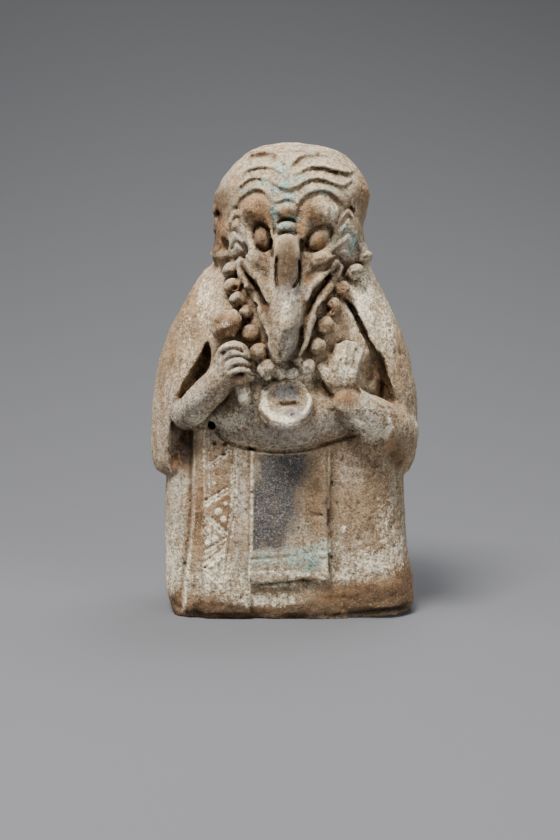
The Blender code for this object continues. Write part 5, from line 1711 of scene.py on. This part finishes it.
def fired_clay():
    """Buff clay under a worn whitish slip, with traces of paint, dirt and painted shade in its creases and
    hollows, and painted highlights on edges and crowns.
    """
    f = Finish("fired_clay")
    crease, edge, hollow_part, crown = f.mark("crease"), f.mark("edge"), f.mark("hollow"), f.mark("crown")
    dark, soot = f.mark("dark"), f.mark("soot")
    broad = f.noise(16.0, 4.0, 0.6, 1.0)
    middle = f.noise(5.0, 4.0, 0.62, 2.0)
    small = f.noise(1.8, 3.0, 0.65, 3.0)
    tiny = f.noise(0.75, 2.0, 0.7, 4.0)
    fleck = f.noise(0.55, 2.0, 0.75, 7.0)
    streak = f.noise(1.5, 3.0, 0.6, 8.0, (1.0, 1.0, 0.10))
    mottle = small * 0.5 + tiny * 0.5

    colour = f.mix(broad.between(0.36, 0.64), BUFF, TAN)
    colour = f.mix(middle.between(0.42, 0.62) * 0.65, colour, BROWN)
    slip = middle * 0.32 + mottle * 0.32 + streak * 0.36
    # Painted highlight and shade: more pale slip on edges and crowns, less in creases and hollows
    slip = slip + (crown - hollow_part) * 0.03 + (edge - crease) * 0.07 + f.mark("cream") * 0.07
    slip = slip - f.mark("rust") * 0.10 - f.mark("bare") * 0.10 + (broad - 0.5) * 0.18
    colour = f.mix(slip.between(0.41, 0.57) * 0.76, colour, f.mix(broad.between(0.4, 0.6), SLIP, GREY_SLIP))

    def stained(below, name, share, tint, grain, broken=mottle):
        """The colour below with a patch of another over it, its border broken up by the noise."""
        place = f.mark(name)
        cover = place + (broken - 0.5) * grain * place.between(0.0, 0.3)
        return f.mix(cover.between(0.15, 0.95) * share, below, tint)

    drips = streak * 0.25 + mottle * 0.75
    colour = stained(colour, "rust", 0.80, f.mix(middle.between(0.42, 0.62), RUST, DARK_RUST_AND_SHADE), 3.0)
    # Brown is partly painted shadow; the pale grey tint and cream are partly painted light and painted
    # highlights
    colour = stained(colour, "brown", 0.85, BROWN_STAIN_AND_SHADE, 3.5)
    colour = stained(colour, "wash_and_light", 0.55, PALE_WASH_AND_LIGHT, 3.0, drips)
    colour = stained(colour, "cream", 0.80, CREAM, 4.0, drips)
    colour = stained(colour, "slate", 0.80, SLATE, 4.0, tiny)
    colour = stained(colour, "soot", 0.90, SOOT, 4.5)
    frost = soot * f.noise(0.42, 1.0, 0.5, 9.0).between(0.50, 0.64)
    colour = f.mix(frost * 0.32, colour, PALE_WASH_AND_LIGHT)
    colour = stained(colour, "turquoise", 0.70, TURQUOISE, 5.0, tiny)
    colour = f.mix(f.mark("tip") * small.between(0.3, 0.6), colour, GREY)

    # Painted shade with some dirt: the colour goes towards near-black brown in creases and hollows by how
    # shut in they are and under the dark zone, held back where less is wanted
    earth_and_shade = (crease * 0.85 + hollow_part * 0.66) * (1.0 - f.mark("less_dirt_and_shade") * 0.75)
    earth_and_shade = earth_and_shade * (mottle + middle).between(0.60, 1.10)
    earth_and_shade = (earth_and_shade + dark * (mottle + dark).between(0.45, 1.05)).clamped()
    earth_and_shade_tint = f.mix(small.between(0.45, 0.6) * dark.between(1.0, 0.7), DARK_EARTH_AND_SHADE, DARK_RUST_AND_SHADE)
    colour = f.mix(earth_and_shade * 0.90, colour, earth_and_shade_tint)
    # White paint of the dots, and a painted highlight on the disc's top rim
    colour = f.mix(f.mark("white").between(0.3, 0.8) * 0.85, colour, CREAM)

    lightness = (tiny * 2.4 + small * 1.3 - 0.85).at_least(0.20)
    colour = colour.vector("SCALE", "Scale", lightness)
    covered = (soot * 0.8 + f.mark("brown") * 0.8 + earth_and_shade * 0.6).clamped()
    white_grains = fleck.between(0.58, 0.66) * middle.between(0.36, 0.52) * (1.0 - covered)
    colour = f.mix(white_grains * 0.60, colour, CREAM)
    dark_grains = (1.0 - fleck).between(0.62, 0.69) * small.between(0.36, 0.52)
    colour = f.mix(dark_grains * 0.60, colour, DARK_EARTH_AND_SHADE)
    put(f.shader.inputs["Base Color"], colour)
    f.shader.inputs["Roughness"].default_value = 0.88
    f.shader.inputs["Specular IOR Level"].default_value = 0.28

    bump = f.tree.nodes.new("ShaderNodeBump")
    bump.inputs["Strength"].default_value = 1.0
    bump.inputs["Distance"].default_value = BUMP_HEIGHT
    put(bump.inputs["Height"], tiny + small * 0.6 - dark_grains * 0.5 + white_grains * 0.3)
    put(f.shader.inputs["Normal"], Value(bump.outputs["Normal"]))
    return f.material


def figurine():
    """The whole figure as one closed skin of fired clay."""
    clay = sculpt()
    mend(clay.field)
    skin = mesh_object("whistle_figurine_clay", *draw_skin(clay))
    material = fired_clay()
    weathered_skin(skin, material)
    thin_out(skin, SKIN_TRIANGLES)
    combine(skin, hollow(), "DIFFERENCE")
    combine(skin, ground(), "DIFFERENCE")
    clean_up(skin)
    skin.data.materials.clear()
    skin.data.materials.append(material)
    skin.data.shade_smooth()
    mark(skin, clay)
    return skin


def plain_finish(name, colour, roughness):
    """An even matt paint."""
    material = bpy.data.materials.new(name)
    material.use_nodes = True
    shader = material.node_tree.nodes["Principled BSDF"]
    shader.inputs["Base Color"].default_value = (*colour, 1.0)
    shader.inputs["Roughness"].default_value = roughness
    return material


def studio_floor():
    """A pale floor that curves up into the backdrop."""
    shape = bmesh.new()
    profile = [(FLOOR_FRONT, 0.0), (BEND_START, 0.0)]
    profile += [(BEND_START + BEND_RADIUS * math.sin(turn), BEND_RADIUS - BEND_RADIUS * math.cos(turn))
                for turn in np.linspace(0.05, 1.57, BEND_STEPS)]
    profile.append((BEND_START + BEND_RADIUS, BACKDROP_HEIGHT))
    rows = [[shape.verts.new((x, y, z)) for x in (-BACKDROP_REACH, BACKDROP_REACH)] for y, z in profile]
    for low, high in zip(rows, rows[1:]):
        shape.faces.new((low[0], low[1], high[1], high[0]))
    mesh = bpy.data.meshes.new("studio_floor")
    shape.to_mesh(mesh)
    shape.free()
    mesh.shade_smooth()
    floor = bpy.data.objects.new("studio_floor", mesh)
    bpy.context.collection.objects.link(floor)
    mesh.materials.append(plain_finish("pale_paper", PALE_PAPER, 0.9))
    return floor


def studio_light(name, place, size, power, colour):
    """A soft square light that looks at the chest."""
    lamp = bpy.data.lights.new(name, "AREA")
    lamp.shape = "RECTANGLE"
    lamp.size, lamp.size_y = size
    lamp.energy = power
    lamp.color = colour
    thing = bpy.data.objects.new(name, lamp)
    thing.location = place
    thing.rotation_euler = (Vector(CHEST_POINT) - Vector(place)).to_track_quat("-Z", "Y").to_euler()
    bpy.context.collection.objects.link(thing)


def studio_camera():
    """A camera where the photograph was taken from."""
    lens = bpy.data.cameras.new("camera")
    lens.sensor_fit = "VERTICAL"
    lens.sensor_height = SENSOR
    lens.sensor_width = SENSOR
    lens.lens = SENSOR * FOCAL_PIXELS / PHOTO_HEIGHT
    lens.clip_start = 0.01
    thing = bpy.data.objects.new("camera", lens)
    facing = Matrix((SIDEWAYS, UPWARD, -FORWARD)).transposed()
    thing.matrix_world = Matrix.Translation(Vector(CAMERA_PLACE) * MM) @ facing.to_4x4()
    bpy.context.collection.objects.link(thing)
    bpy.context.scene.camera = thing


def studio_air():
    """Even light from all round."""
    world = bpy.data.worlds.new("studio_air")
    world.use_nodes = True
    background = world.node_tree.nodes["Background"]
    background.inputs["Color"].default_value = AIR_COLOUR
    background.inputs["Strength"].default_value = AIR_STRENGTH
    bpy.context.scene.world = world


figure = figurine()
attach(figure, "root")
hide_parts("whistle_figurine")

studio_floor()
studio_air()
for light, settings in LIGHTS.items():
    studio_light(light, *settings)
studio_camera()
